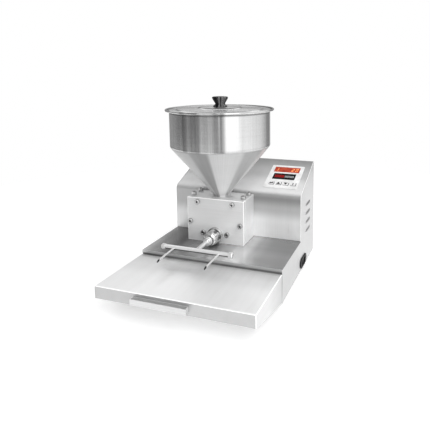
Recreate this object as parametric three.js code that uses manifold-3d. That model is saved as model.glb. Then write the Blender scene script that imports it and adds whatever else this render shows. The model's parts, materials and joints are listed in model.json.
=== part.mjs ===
// Electric donut filling machine: a hopper over a gear pump whose outlet feeds two needles, above a
// pull-out tray.
// Millimetres, +Z up. The front faces -Y and the right side +X.
// The origin is under the centre of the machine, on the surface it stands on.
import * as THREE from "three";
import { mergeVertices } from "three/addons/utils/BufferGeometryUtils.js";
import Module from "manifold-3d";

const wasm = await Module();
wasm.setup();

// ---------- driving dimensions ----------
const WIDTH = 356; // across the side panels
const BODY_DEPTH = 480; // tray fascia to back panel
const HANDLE_REACH = 12; // the tray handle stands this far in front of the fascia
const DECK_TOP = 82; // top of the deck plate that carries the pump
const BEND_TOP = 201; // where the housing front turns into the slope
const SLOPE_TOP = 261.5; // the slope's height at the back panel
const TRAY_DEPTH = 165; // tray fascia to the deck's front lip
const TRAY_TOP = 72.5;
const FASCIA_BOTTOM = 45;
const HOUSING_SETBACK = 331; // tray fascia to the housing front
const SHEET = 1.5; // thickness of the body sheets
const GAP = 0.3; // between faces that touch
const FLOOR_GAP = 3; // the feet lift the body this far

const PUMP_X = -26; // the pump, hopper and outlet share this centre plane
const PUMP_WIDTH = 154.5;
const PUMP_TOP = 195.7;
const COVER_THICKNESS = 12.4;
const GEAR_CENTRE_Z = 146;
const OUTLET_Z = 102.7;
const GEAR_TEETH = 12;
const GEAR_MODULE = 3.5;

const HOPPER_RADIUS = 126;
const HOPPER_CONE_TOP = 323;
const RIM_BASE = 415.5;
const RIM_RADIUS = 133.7; // to the centre of the rolled edge
const NECK_RADIUS = 20.9;
const NECK_BORE = 19.2;
const KNOB_TOP = 450;

const MANIFOLD_SETBACK = 158.5; // tray fascia to the cross tube
const MANIFOLD_HALF = 90.5;
const NEEDLE_SPACING = 114;
const NEEDLE_LENGTH = 68;

// Sides of a round shape.
const LARGE = 24;
const SMALL = 12;

// ---------- places worked out from them ----------
const FRONT = HANDLE_REACH / 2 - BODY_DEPTH / 2;
const BACK = FRONT + BODY_DEPTH;
const SEAM = FRONT + TRAY_DEPTH;
const HOUSING_FRONT = FRONT + HOUSING_SETBACK;
const PANEL_BACK = BACK - 2; // outer face of the back panel
const SIDE = WIDTH / 2;
const INSIDE = SIDE - SHEET - GAP; // half width between the side panels
const SLOPE = Math.atan2(SLOPE_TOP - BEND_TOP, PANEL_BACK - HOUSING_FRONT);
const BODY_BOTTOM = FLOOR_GAP + GAP;
const FLOOR_TOP = BODY_BOTTOM + SHEET; // top of the bottom plate
const SIDE_BACK_OF_LIP = SEAM + SHEET + GAP;
const PUMP_FRONT = FRONT + 258.6;
const PUMP_BACK = HOUSING_FRONT - GAP;
const COVER_BACK = PUMP_FRONT + COVER_THICKNESS;
const BODY_FRONT = COVER_BACK + 1.3; // the gasket lies between
const HOPPER_Y = FRONT + 300;
const GEAR_PITCH = (GEAR_TEETH * GEAR_MODULE) / 2;
const DRIVE_X = PUMP_X - GEAR_PITCH;
const DRIVEN_X = PUMP_X + GEAR_PITCH;
const GEAR_OUTER = GEAR_PITCH + 0.9 * GEAR_MODULE;
const CAVITY_RADIUS = GEAR_OUTER + 0.5;
const SHAFT_RADIUS = 7;
const BORE_RADIUS = SHAFT_RADIUS + 0.1;
const MANIFOLD_Y = FRONT + MANIFOLD_SETBACK;
const MANIFOLD_RADIUS = 5;

// ---------- finishes ----------
function finish(color, roughness, metalness) {
  return new THREE.MeshStandardMaterial({ color, roughness, metalness });
}
const SATIN_STEEL = finish(0xc9cacb, 0.35, 1);
const BRIGHT_STEEL = finish(0xdadbdc, 0.18, 1);
const DECK_STEEL = finish(0xa9abad, 0.25, 1);
const BLOCK_STEEL = finish(0xcfd0d0, 0.4, 1);
const BLACK_PLASTIC = finish(0x151515, 0.35, 0);
const BLACK_RUBBER = finish(0x1d1d1d, 0.8, 0);
const WHITE_PANEL = finish(0xf4f4f2, 0.45, 0);
const RED_WINDOW = finish(0xc8402a, 0.2, 0);
const CAST_GREY = finish(0x85888b, 0.55, 0.6);
const GREEN_BOARD = finish(0x1f6b3a, 0.5, 0);
const GASKET_WHITE = finish(0xe6e4dc, 0.7, 0);

// ---------- solids ----------
function toSolid(geometry) {
  const bare = geometry.index ? geometry.toNonIndexed() : geometry.clone();
  bare.deleteAttribute("normal");
  bare.deleteAttribute("uv");
  const merged = mergeVertices(bare, 1e-4);
  return new wasm.Manifold(
    new wasm.Mesh({
      numProp: 3,
      vertProperties: new Float32Array(merged.attributes.position.array),
      triVerts: new Uint32Array(merged.index.array),
    }),
  );
}

function toGeometry(solid) {
  const mesh = solid.getMesh();
  const geometry = new THREE.BufferGeometry();
  const positions = new Float32Array(mesh.vertProperties);
  geometry.setAttribute("position", new THREE.BufferAttribute(positions, 3));
  geometry.setIndex(new THREE.BufferAttribute(new Uint32Array(mesh.triVerts), 1));
  const flat = geometry.toNonIndexed();
  flat.computeVertexNormals();
  return flat;
}

function join(...geometries) {
  return toGeometry(geometries.map(toSolid).reduce((whole, piece) => whole.add(piece)));
}

function cut(geometry, ...tools) {
  return toGeometry(tools.map(toSolid).reduce((rest, tool) => rest.subtract(tool), toSolid(geometry)));
}

// A box between two corners.
function block(x0, x1, y0, y1, z0, z1) {
  const box = new THREE.BoxGeometry(x1 - x0, y1 - y0, z1 - z0);
  return box.translate((x0 + x1) / 2, (y0 + y1) / 2, (z0 + z1) / 2);
}

function outline(points) {
  return new THREE.Shape(points.map(([a, b]) => new THREE.Vector2(a, b)));
}

function extrude(shape, depth) {
  return new THREE.ExtrudeGeometry(shape, { depth, bevelEnabled: false, curveSegments: 3 });
}

// Shape drawn in (y, z), filled from x0 to x1.
function acrossX(shape, x0, x1) {
  const turn = new THREE.Matrix4().set(0, 0, 1, x0, 1, 0, 0, 0, 0, 1, 0, 0, 0, 0, 0, 1);
  return extrude(shape, x1 - x0).applyMatrix4(turn);
}

// Shape drawn in (x, z), filled from y0 to y1.
function acrossY(shape, y0, y1) {
  const turn = new THREE.Matrix4().set(1, 0, 0, 0, 0, 0, -1, y1, 0, 1, 0, 0, 0, 0, 0, 1);
  return extrude(shape, y1 - y0).applyMatrix4(turn);
}

// Shape drawn in (x, y), filled from z0 to z1.
function acrossZ(shape, z0, z1) {
  return extrude(shape, z1 - z0).translate(0, 0, z0);
}

// Rectangle with round corners, centred on (a, b).
function roundRect(a, b, width, height, radius) {
  const w = width / 2 - radius;
  const h = height / 2 - radius;
  const shape = new THREE.Shape();
  shape.moveTo(a + w + radius, b - h);
  shape.lineTo(a + w + radius, b + h);
  shape.absarc(a + w, b + h, radius, 0, Math.PI / 2, false);
  shape.absarc(a - w, b + h, radius, Math.PI / 2, Math.PI, false);
  shape.absarc(a - w, b - h, radius, Math.PI, 1.5 * Math.PI, false);
  shape.absarc(a + w, b - h, radius, 1.5 * Math.PI, 2 * Math.PI, false);
  return shape;
}

// Profile of [radius, distance along the axis], turned about that axis. The profile runs
// anticlockwise, or up along the outside from axis to axis.
function turned(profile, sides) {
  const points = profile.map(([r, d]) => new THREE.Vector2(r, d));
  const closes = profile[0][0] > 0;
  if (closes) points.push(points[0].clone());
  return new THREE.LatheGeometry(points, sides);
}
function turnedZ(profile, sides, x, y, z = 0) {
  return turned(profile, sides)
    .rotateX(Math.PI / 2)
    .translate(x, y, z);
}
function turnedY(profile, sides, x, z) {
  return turned(profile, sides).translate(x, 0, z);
}
function turnedX(profile, sides, y, z, x = 0) {
  return turned(profile, sides)
    .rotateZ(-Math.PI / 2)
    .translate(x, y, z);
}
function rod(radius, from, to) {
  return [
    [0, from],
    [radius, from],
    [radius, to],
    [0, to],
  ];
}
function sleeve(inner, outer, from, to) {
  return [
    [inner, from],
    [outer, from],
    [outer, to],
    [inner, to],
  ];
}

// ---------- assembly ----------
const machine = new THREE.Group();
function add(name, geometry, material, parent = machine) {
  const mesh = new THREE.Mesh(geometry, material);
  mesh.name = name;
  parent.add(mesh);
}

// Height of the housing's outer face above a depth behind the bend.
function slopeHeight(y) {
  return BEND_TOP + (y - HOUSING_FRONT) * Math.tan(SLOPE);
}

// Outer line of the housing from the front's foot, round the bend, to the back; inset moves it inwards.
function housingLine(bottom, back, inset) {
  const radius = 14 - inset;
  const reach = 14 * Math.tan((Math.PI / 2 - SLOPE) / 2);
  const centreY = HOUSING_FRONT + 14;
  const centreZ = BEND_TOP - reach;
  const steps = 5;
  const points = [[HOUSING_FRONT + inset, bottom]];
  for (let i = 0; i <= steps; i++) {
    const angle = Math.PI - ((Math.PI / 2 - SLOPE) * i) / steps;
    points.push([centreY + radius * Math.cos(angle), centreZ + radius * Math.sin(angle)]);
  }
  points.push([back, slopeHeight(back) - inset / Math.cos(SLOPE)]);
  return points;
}

// ---------- base ----------
function addBottomPlate() {
  add(
    "bottom_plate",
    block(-INSIDE, INSIDE, SIDE_BACK_OF_LIP, PANEL_BACK - SHEET - GAP, BODY_BOTTOM, FLOOR_TOP),
    SATIN_STEEL,
  );
}

function addFeet() {
  const profile = [
    [0, 0],
    [8, 0],
    [10, FLOOR_GAP],
    [0, FLOOR_GAP],
  ];
  for (const [endName, y] of [
    ["front", SEAM + 35],
    ["rear", BACK - 30],
  ]) {
    for (const [sideName, x] of [
      ["left", -SIDE + 30],
      ["right", SIDE - 30],
    ]) {
      add(`foot_${endName}_${sideName}`, turnedZ(profile, SMALL, x, y), BLACK_RUBBER);
    }
  }
}

const LOUVRE_HEIGHTS = [89, 113, 137, 161];
const LOUVRE_FRONT = FRONT + 382;
const LOUVRE_LENGTH = 48;
const SWITCH_Y = FRONT + 355;
const SWITCH_Z = 20;

function addSidePanel(name, sign) {
  const edge = housingLine(DECK_TOP - SHEET - GAP, PANEL_BACK, 0);
  const panel = acrossX(
    outline([
      [SIDE_BACK_OF_LIP, FLOOR_GAP],
      [PANEL_BACK, FLOOR_GAP],
      ...edge.reverse(),
      [SIDE_BACK_OF_LIP, DECK_TOP - SHEET - GAP],
    ]),
    SIDE - SHEET,
    SIDE,
  );
  const slots = LOUVRE_HEIGHTS.map((z) =>
    block(SIDE - 5, SIDE + 5, LOUVRE_FRONT, LOUVRE_FRONT + LOUVRE_LENGTH, z - 3, z + 1),
  );
  let geometry = cut(panel, ...slots);
  if (sign > 0) {
    const opening = new THREE.BoxGeometry(10, 41, 21).translate(SIDE, SWITCH_Y, SWITCH_Z);
    geometry = cut(geometry, opening);
  }
  for (const z of LOUVRE_HEIGHTS) {
    const hood = outline([
      [SIDE - 1, z + 1],
      [SIDE + 1.8, z - 1.8],
      [SIDE + 3, z - 1.8],
      [SIDE + 3, z - 0.6],
      [SIDE - 0.2, z + 5],
      [SIDE - 1, z + 5],
    ]);
    geometry = join(geometry, acrossY(hood, LOUVRE_FRONT, LOUVRE_FRONT + LOUVRE_LENGTH));
  }
  if (sign < 0) geometry = toGeometry(toSolid(geometry).mirror([1, 0, 0]));
  add(name, geometry, SATIN_STEEL);
}

function addDeck() {
  const top = block(-SIDE, SIDE, SEAM, HOUSING_FRONT - GAP, DECK_TOP - SHEET, DECK_TOP);
  const tongue = block(-INSIDE, INSIDE, HOUSING_FRONT - 5, HOUSING_FRONT + 7, DECK_TOP - SHEET, DECK_TOP);
  const lip = block(-SIDE, SIDE, SEAM, SEAM + SHEET, DECK_TOP - 7, DECK_TOP - 0.5);
  const holes = clampBoltPlaces().map(([x, y]) => turnedZ(rod(4.4, 70, 90), SMALL, x, y));
  add("deck_plate", cut(join(top, tongue, lip), ...holes), DECK_STEEL);
}

const RUNNER_LOW = 36.2;
const RUNNER_HIGH = 49.8;

function addFrontBulkhead() {
  const plate = block(
    -INSIDE,
    INSIDE,
    SIDE_BACK_OF_LIP,
    SIDE_BACK_OF_LIP + SHEET,
    FLOOR_TOP + GAP,
    DECK_TOP - SHEET - GAP,
  );
  const y0 = SIDE_BACK_OF_LIP - 3;
  const y1 = SIDE_BACK_OF_LIP + 5;
  const notches = [-1, 1].map((s) =>
    block(
      Math.min(s * 160, s * 185),
      Math.max(s * 160, s * 185),
      y0,
      y1,
      RUNNER_LOW - 3,
      RUNNER_HIGH + 3,
    ),
  );
  add("front_bulkhead", cut(plate, ...notches), SATIN_STEEL);
}

// Each guide is a channel on a side panel's inner face, open towards the middle.
function addTrayGuides() {
  for (const [name, s] of [
    ["tray_guide_left", -1],
    ["tray_guide_right", 1],
  ]) {
    const channel = outline([
      [s * INSIDE, RUNNER_LOW - 2.2],
      [s * INSIDE, RUNNER_HIGH + 2.2],
      [s * (INSIDE - 13), RUNNER_HIGH + 2.2],
      [s * (INSIDE - 13), RUNNER_HIGH + 0.5],
      [s * (INSIDE - 1.3), RUNNER_HIGH + 0.5],
      [s * (INSIDE - 1.3), RUNNER_LOW - 0.5],
      [s * (INSIDE - 13), RUNNER_LOW - 0.5],
      [s * (INSIDE - 13), RUNNER_LOW - 2.2],
    ]);
    add(name, acrossY(channel, SIDE_BACK_OF_LIP + 3, SIDE_BACK_OF_LIP + 125), SATIN_STEEL);
  }
}

// ---------- housing ----------
function addHousingCover() {
  const outer = housingLine(DECK_TOP + GAP, PANEL_BACK - SHEET - GAP, 0);
  const inner = housingLine(DECK_TOP + GAP, PANEL_BACK - SHEET - GAP, SHEET);
  const sheet = acrossX(outline([...outer, ...inner.reverse()]), -INSIDE, INSIDE);
  const shaftHole = turnedY(rod(14, HOUSING_FRONT - 5, HOUSING_FRONT + 5), LARGE, DRIVE_X, GEAR_CENTRE_Z);
  const window = new THREE.BoxGeometry(84, 90, 20).applyMatrix4(panelPlace());
  add("housing_cover", cut(sheet, shaftHole, window), SATIN_STEEL);
}

const INLET_X = 110;
const INLET_Z = 40;

function addBackPanel() {
  const back = PANEL_BACK;
  const plate = block(-INSIDE, INSIDE, back - SHEET, back, FLOOR_TOP + GAP, slopeHeight(back) - 0.6);
  const opening = block(INLET_X - 13.8, INLET_X + 13.8, back - 5, back + 5, INLET_Z - 10.3, INLET_Z + 10.3);
  const vents = [];
  for (let row = 0; row < 6; row++) {
    const z = 150 + row * 12;
    vents.push(block(-60, 60, back - 5, back + 5, z, z + 4));
  }
  add("back_panel", cut(plate, opening, ...vents), SATIN_STEEL);
}

// A three-pin inlet: a flange outside, a socket 14 mm deep, and its pins.
function addMainsInlet() {
  const flange = acrossY(roundRect(INLET_X, INLET_Z, 50, 28, 4), PANEL_BACK + GAP, BACK);
  const box = acrossY(roundRect(INLET_X, INLET_Z, 27, 20, 3), PANEL_BACK - 18, PANEL_BACK + 1);
  const socket = acrossY(roundRect(INLET_X, INLET_Z, 23.5, 16.5, 3), PANEL_BACK - 13, BACK + 5);
  let geometry = cut(join(flange, box), socket);
  for (const [dx, dz] of [
    [-7, -1.5],
    [0, 2.5],
    [7, -1.5],
  ]) {
    const pin = block(
      INLET_X + dx - 1,
      INLET_X + dx + 1,
      PANEL_BACK - 14,
      PANEL_BACK - 4,
      INLET_Z + dz - 2,
      INLET_Z + dz + 2,
    );
    geometry = join(geometry, pin);
  }
  add("mains_inlet", geometry, BLACK_PLASTIC);
}

// ---------- mains switch ----------
const ROCKER_PIVOT_X = SIDE - 3;
const ROCKER_TILT = THREE.MathUtils.degToRad(7);

function addSwitch() {
  const frame = acrossX(roundRect(SWITCH_Y, SWITCH_Z, 60, 26, 12.5), SIDE + GAP, SIDE + 2.6);
  const body = block(SIDE - 20, SIDE + 1, SWITCH_Y - 20, SWITCH_Y + 20, SWITCH_Z - 10, SWITCH_Z + 10);
  const well = block(SIDE - 11, SIDE + 9, SWITCH_Y - 16.4, SWITCH_Y + 16.4, SWITCH_Z - 8.2, SWITCH_Z + 8.2);
  add("switch_body", cut(join(frame, body), well), BLACK_PLASTIC);

  const pivot = new THREE.Group();
  pivot.position.set(ROCKER_PIVOT_X, SWITCH_Y, SWITCH_Z);
  pivot.rotation.z = ROCKER_TILT;
  machine.add(pivot);
  const side = outline([
    [-6, -13],
    [3.6, -15],
    [4.6, -15],
    [3.2, 0],
    [4.6, 15],
    [3.6, 15],
    [-6, 13],
  ]);
  add("switch_rocker", acrossZ(side, -7.7, 7.7), BLACK_PLASTIC, pivot);
}

// ---------- control panel ----------
const PANEL_X = 114;
const PANEL_WIDTH = 92;
const PANEL_LENGTH = 102;
const PANEL_SETBACK = 400; // tray fascia to the panel's centre
const DISPLAY_V = 31.4; // up the slope from the centre
const KEYS_V = -30.6;
const KEY_PITCH = 20;

// Turns the slope's own frame (x across, y up the slope, z out of it) into the machine's.
function panelPlace() {
  const y = FRONT + PANEL_SETBACK;
  const turn = new THREE.Matrix4().makeRotationX(SLOPE);
  return turn.setPosition(PANEL_X, y, slopeHeight(y));
}

function addControlPanel() {
  const panel = new THREE.Group();
  panel.applyMatrix4(panelPlace());
  machine.add(panel);

  const keyX = [-1.5, -0.5, 0.5, 1.5].map((step) => step * KEY_PITCH + 1.5);
  const sheet = acrossZ(roundRect(0, 0, PANEL_WIDTH, PANEL_LENGTH, 3), GAP, 1.5);
  const windows = [block(-36, 36, DISPLAY_V - 12, DISPLAY_V + 12, -2, 4)];
  for (const x of keyX) windows.push(block(x - 7.4, x + 7.4, KEYS_V - 6.2, KEYS_V + 6.2, -2, 4));
  add("control_membrane", cut(sheet, ...windows), WHITE_PANEL, panel);

  const glass = block(-35.7, 35.7, DISPLAY_V - 11.7, DISPLAY_V + 11.7, 0.2, 1.3);
  add("display_window", glass, RED_WINDOW, panel);

  const keyNames = ["key_enter", "key_up", "key_down", "key_set"];
  keyNames.forEach((name, i) => {
    const x = keyX[i];
    const cap = acrossZ(roundRect(x, KEYS_V, 14, 11.6, 1.5), 0.2, 1.9);
    add(name, cap, WHITE_PANEL, panel);
  });

  const board = block(-46, 46, -46, 46, -11, -9.4);
  const display = block(-33, 33, DISPLAY_V - 10, DISPLAY_V + 10, -10, -3);
  const chip = block(-14, 8, -10, 8, -10, -7);
  const buttons = keyX.map((x) => block(x - 3, x + 3, KEYS_V - 3, KEYS_V + 3, -10, -1.4));
  add("control_board", join(board, display, chip, ...buttons), GREEN_BOARD, panel);
}

// ---------- pump ----------
function clampBoltPlaces() {
  const front = BODY_FRONT + 7.5;
  const rear = PUMP_BACK - 14;
  return [
    [PUMP_X - 68.5, front],
    [PUMP_X + 68.5, front],
    [PUMP_X - 68.5, rear],
    [PUMP_X + 68.5, rear],
  ];
}
const COVER_BOLTS = [
  [-47.5, 185.5],
  [47.5, 185.5],
  [-68, 133.4],
  [68, 133.4],
  [-32.5, 107],
  [32.5, 107],
];

function pumpSlab(y0, y1) {
  const half = PUMP_WIDTH / 2;
  return block(PUMP_X - half, PUMP_X + half, y0, y1, DECK_TOP + GAP, PUMP_TOP);
}

function addPumpBody() {
  const cavityEnd = BODY_FRONT + 36.3;
  const holes = [
    turnedY(rod(CAVITY_RADIUS, BODY_FRONT - 5, cavityEnd), LARGE, DRIVE_X, GEAR_CENTRE_Z),
    turnedY(rod(CAVITY_RADIUS, BODY_FRONT - 5, cavityEnd), LARGE, DRIVEN_X, GEAR_CENTRE_Z),
    turnedY(rod(BORE_RADIUS, BODY_FRONT, PUMP_BACK + 5), LARGE, DRIVE_X, GEAR_CENTRE_Z),
    turnedY(rod(BORE_RADIUS, BODY_FRONT, PUMP_BACK - 8), LARGE, DRIVEN_X, GEAR_CENTRE_Z),
    turnedZ(rod(NECK_RADIUS + 0.4, 178, PUMP_TOP + 5), LARGE, PUMP_X, HOPPER_Y),
    turnedZ(rod(12, GEAR_CENTRE_Z, 180), LARGE, PUMP_X, HOPPER_Y - 7),
    turnedZ(rod(8, OUTLET_Z - 4, GEAR_CENTRE_Z), LARGE, PUMP_X, BODY_FRONT + 17),
    turnedY(rod(8, BODY_FRONT - 5, BODY_FRONT + 20), LARGE, PUMP_X, OUTLET_Z),
  ];
  for (const [x, y] of clampBoltPlaces()) holes.push(turnedZ(rod(4.3, 70, PUMP_TOP + 5), SMALL, x, y));
  for (const [dx, z] of COVER_BOLTS) {
    holes.push(turnedY(rod(3.3, BODY_FRONT - 5, BODY_FRONT + 0.7), SMALL, PUMP_X + dx, z));
  }
  add("pump_body", cut(pumpSlab(BODY_FRONT, PUMP_BACK), ...holes), BLOCK_STEEL);
}

function addPumpCover() {
  const holes = [
    turnedY(rod(BORE_RADIUS, COVER_BACK - 4, COVER_BACK + 5), LARGE, DRIVE_X, GEAR_CENTRE_Z),
    turnedY(rod(BORE_RADIUS, COVER_BACK - 4, COVER_BACK + 5), LARGE, DRIVEN_X, GEAR_CENTRE_Z),
    turnedY(rod(9, PUMP_FRONT - 5, COVER_BACK + 5), LARGE, PUMP_X, OUTLET_Z),
  ];
  for (const [dx, z] of COVER_BOLTS) {
    holes.push(turnedY(rod(3.3, PUMP_FRONT - 5, COVER_BACK + 5), SMALL, PUMP_X + dx, z));
  }
  add("pump_cover", cut(pumpSlab(PUMP_FRONT, COVER_BACK), ...holes), BLOCK_STEEL);
}

function addCoverGasket() {
  const y0 = COVER_BACK + GAP;
  const y1 = BODY_FRONT - GAP;
  const holes = [
    turnedY(rod(CAVITY_RADIUS, y0 - 5, y1 + 5), LARGE, DRIVE_X, GEAR_CENTRE_Z),
    turnedY(rod(CAVITY_RADIUS, y0 - 5, y1 + 5), LARGE, DRIVEN_X, GEAR_CENTRE_Z),
    turnedY(rod(9, y0 - 5, y1 + 5), LARGE, PUMP_X, OUTLET_Z),
  ];
  for (const [dx, z] of COVER_BOLTS) holes.push(turnedY(rod(3.6, y0 - 5, y1 + 5), SMALL, PUMP_X + dx, z));
  const half = PUMP_WIDTH / 2 - 1;
  const plate = block(PUMP_X - half, PUMP_X + half, y0, y1, DECK_TOP + 1.3, PUMP_TOP - 1);
  add("cover_gasket", cut(plate, ...holes), GASKET_WHITE);
}

// One flank of an involute tooth: points from the root to the tip, for a tooth centred on angle 0.
function toothFlank() {
  const pressure = THREE.MathUtils.degToRad(25);
  const base = GEAR_PITCH * Math.cos(pressure);
  const root = GEAR_PITCH - 1.2 * GEAR_MODULE;
  const involute = (angle) => Math.tan(angle) - angle;
  const halfTooth = Math.PI / 2 / GEAR_TEETH - 0.018; // the small angle is the running play
  const points = [[root, halfTooth + involute(pressure) - 0.02]];
  const steps = 2;
  for (let i = 0; i <= steps; i++) {
    const radius = base + ((GEAR_OUTER - base) * i) / steps;
    const angle = Math.acos(base / radius);
    points.push([radius, halfTooth + involute(pressure) - involute(angle)]);
  }
  return points;
}

function gearOutline(phase) {
  const flank = toothFlank();
  const points = [];
  for (let tooth = 0; tooth < GEAR_TEETH; tooth++) {
    const centre = phase + (2 * Math.PI * tooth) / GEAR_TEETH;
    const sides = [
      ...flank.map(([r, a]) => [r, centre - a]),
      ...flank.map(([r, a]) => [r, centre + a]).reverse(),
    ];
    for (const [r, a] of sides) points.push([r * Math.cos(a), r * Math.sin(a)]);
  }
  return outline(points);
}

// The gears mesh on the centre plane: one has a tooth there and the other a space.
function addPumpGears() {
  const y0 = BODY_FRONT + 0.5;
  const y1 = y0 + 35;
  const shaftFront = COVER_BACK - 3.5;
  const halfStep = Math.PI / GEAR_TEETH;
  const driveWheel = acrossY(gearOutline(0), y0, y1).translate(DRIVE_X, 0, GEAR_CENTRE_Z);
  const driveRod = rod(SHAFT_RADIUS, shaftFront, HOUSING_FRONT + 12.7);
  const driveShaft = turnedY(driveRod, LARGE, DRIVE_X, GEAR_CENTRE_Z);
  add("drive_gear", join(driveWheel, driveShaft), BRIGHT_STEEL);

  const drivenWheel = acrossY(gearOutline(halfStep), y0, y1).translate(DRIVEN_X, 0, GEAR_CENTRE_Z);
  const drivenRod = rod(SHAFT_RADIUS, shaftFront, PUMP_BACK - 9);
  const drivenShaft = turnedY(drivenRod, LARGE, DRIVEN_X, GEAR_CENTRE_Z);
  add("driven_gear", join(drivenWheel, drivenShaft), BRIGHT_STEEL);
}

function addHopperSeal() {
  const ring = sleeve(NECK_BORE - 0.6, NECK_RADIUS, 178.3, 180.6);
  add("hopper_seal", turnedZ(ring, LARGE, PUMP_X, HOPPER_Y), BLACK_RUBBER);
}

// Socket-head bolts: [radius, distance] from the shank's end to the head's top.
function boltProfile(shank, head, length, headHeight) {
  return [
    [0, -length],
    [shank, -length],
    [shank, 0],
    [head, 0],
    [head, headHeight],
    [0, headHeight],
  ];
}

function addPumpBolts() {
  const coverBolt = boltProfile(3, 6.3, COVER_THICKNESS + 1.6, 6.6);
  COVER_BOLTS.forEach(([dx, z], i) => {
    const bolt = turned(coverBolt, SMALL).rotateZ(Math.PI);
    bolt.translate(PUMP_X + dx, PUMP_FRONT - GAP, z);
    add(`cover_bolt_${i + 1}`, bolt, BRIGHT_STEEL);
  });
  const clampBolt = boltProfile(4, 6.6, PUMP_TOP - 73.5, 8);
  clampBoltPlaces().forEach(([x, y], i) => {
    add(`clamp_bolt_${i + 1}`, turnedZ(clampBolt, SMALL, x, y, PUMP_TOP + GAP), BRIGHT_STEEL);
  });
}

// The pedestal is an inverted U under the deck. The clamp bolts end in its top plate.
function addPumpPedestal() {
  const half = PUMP_WIDTH / 2;
  const y0 = BODY_FRONT - 6;
  const y1 = PUMP_BACK - 2;
  const top = block(PUMP_X - half, PUMP_X + half, y0, y1, DECK_TOP - SHEET - GAP - 8, DECK_TOP - SHEET - GAP);
  const legs = [-1, 1].map((s) => {
    const outer = PUMP_X + s * half;
    const inner = outer - s * 4;
    return block(Math.min(outer, inner), Math.max(outer, inner), y0, y1, FLOOR_TOP + GAP, 75);
  });
  const holes = clampBoltPlaces().map(([x, y]) => turnedZ(rod(4.4, 60, 90), SMALL, x, y));
  add("pump_pedestal", cut(join(top, ...legs), ...holes), CAST_GREY);
}

// ---------- drive ----------
const BRACKET_Y = HOUSING_FRONT + 16;

function addDrive() {
  const coupling = join(
    turnedY(sleeve(BORE_RADIUS, 12, HOUSING_FRONT + 4, HOUSING_FRONT + 16), LARGE, DRIVE_X, GEAR_CENTRE_Z),
    turnedY(rod(12, HOUSING_FRONT + 13, HOUSING_FRONT + 23), LARGE, DRIVE_X, GEAR_CENTRE_Z),
    turnedY(rod(6, HOUSING_FRONT + 22, HOUSING_FRONT + 42), SMALL, DRIVE_X, GEAR_CENTRE_Z),
  );
  add("shaft_coupling", coupling, CAST_GREY);

  const plate = block(DRIVE_X - 46, DRIVE_X + 46, BRACKET_Y, BRACKET_Y + 3, FLOOR_TOP + GAP, 188);
  const foot = block(DRIVE_X - 46, DRIVE_X + 46, BRACKET_Y, BRACKET_Y + 40, FLOOR_TOP + GAP, FLOOR_TOP + 3);
  const hole = turnedY(rod(15, BRACKET_Y - 5, BRACKET_Y + 8), LARGE, DRIVE_X, GEAR_CENTRE_Z);
  add("motor_bracket", cut(join(plate, foot), hole), SATIN_STEEL);

  const caseFront = BRACKET_Y + 8;
  const caseBack = BRACKET_Y + 54;
  const shell = block(DRIVE_X - 38, DRIVE_X + 38, caseFront, caseBack, GEAR_CENTRE_Z - 38, GEAR_CENTRE_Z + 38);
  const boss = turnedY(rod(30, BRACKET_Y + 3 + GAP, caseFront + 1), LARGE, DRIVE_X, GEAR_CENTRE_Z);
  const bore = turnedY(rod(13, BRACKET_Y, caseFront + 2), LARGE, DRIVE_X, GEAR_CENTRE_Z);
  const shaftBore = turnedY(rod(6.4, BRACKET_Y, caseFront + 22), SMALL, DRIVE_X, GEAR_CENTRE_Z);
  add("gearbox", cut(join(shell, boss), bore, shaftBore), CAST_GREY);

  const motorBack = PANEL_BACK - 10;
  const motor = [
    [0, caseBack + GAP],
    [34, caseBack + GAP],
    [34, caseBack + 6],
    [36, caseBack + 8],
    [36, motorBack - 6],
    [32, motorBack],
    [0, motorBack],
  ];
  add("drive_motor", turnedY(motor, LARGE, DRIVE_X, GEAR_CENTRE_Z), CAST_GREY);
}

function addPowerSupply() {
  const y0 = HOUSING_FRONT + 40;
  const base = block(60, 165, y0, y0 + 62, FLOOR_TOP + GAP, FLOOR_TOP + 3);
  const mesh = block(60, 150, y0, y0 + 62, FLOOR_TOP + 1, 30);
  const strip = block(149, 162, y0 + 4, y0 + 58, FLOOR_TOP + 1, 18);
  add("power_supply", join(base, mesh, strip), SATIN_STEEL);
}

// ---------- outlet ----------
function addOutlet() {
  const flangeBack = PUMP_FRONT - GAP;
  const spigotEnd = PUMP_FRONT - 21;
  const spigot = [
    [7, spigotEnd],
    [15, spigotEnd],
    [15, flangeBack - 4],
    [20.2, flangeBack - 4],
    [20.2, flangeBack],
    [8.7, flangeBack],
    [8.7, COVER_BACK - 1],
    [7, COVER_BACK - 1],
  ];
  add("outlet_spigot", turnedY(spigot, LARGE, PUMP_X, OUTLET_Z), BRIGHT_STEEL);

  const nutBack = flangeBack - 4 - GAP;
  const shoulder = spigotEnd - 2.6;
  const nut = [
    [8.6, shoulder - 13],
    [13, shoulder - 13],
    [16, shoulder - 9.5],
    [18.9, shoulder - 1],
    [18.9, nutBack - 7],
    [17.8, nutBack - 6.5],
    [17.8, nutBack - 5],
    [19.9, nutBack - 4.5],
    [19.9, nutBack],
    [15.6, nutBack],
    [15.6, shoulder],
    [8.6, shoulder],
  ];
  add("union_nut", turnedY(nut, LARGE, PUMP_X, OUTLET_Z), BRIGHT_STEEL);

  const collar = shoulder - 13.6;
  const pipe = [
    [3.4, MANIFOLD_Y],
    [5, MANIFOLD_Y],
    [5, collar - 13],
    [9.6, collar - 12.4],
    [10, collar - 9.4],
    [7.4, collar - 8.6],
    [7.4, collar - 7.2],
    [10.6, collar - 6.4],
    [11, collar - 3.6],
    [8.2, collar - 2.8],
    [8.2, shoulder + 0.4],
    [14.5, shoulder + 0.4],
    [14.5, spigotEnd - GAP],
    [3.4, spigotEnd - GAP],
  ];
  const saddle = turnedX(rod(MANIFOLD_RADIUS + GAP, -20, 20), LARGE, MANIFOLD_Y, OUTLET_Z, PUMP_X);
  add("feed_pipe", cut(turnedY(pipe, LARGE, PUMP_X, OUTLET_Z), saddle), BRIGHT_STEEL);
}

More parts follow.
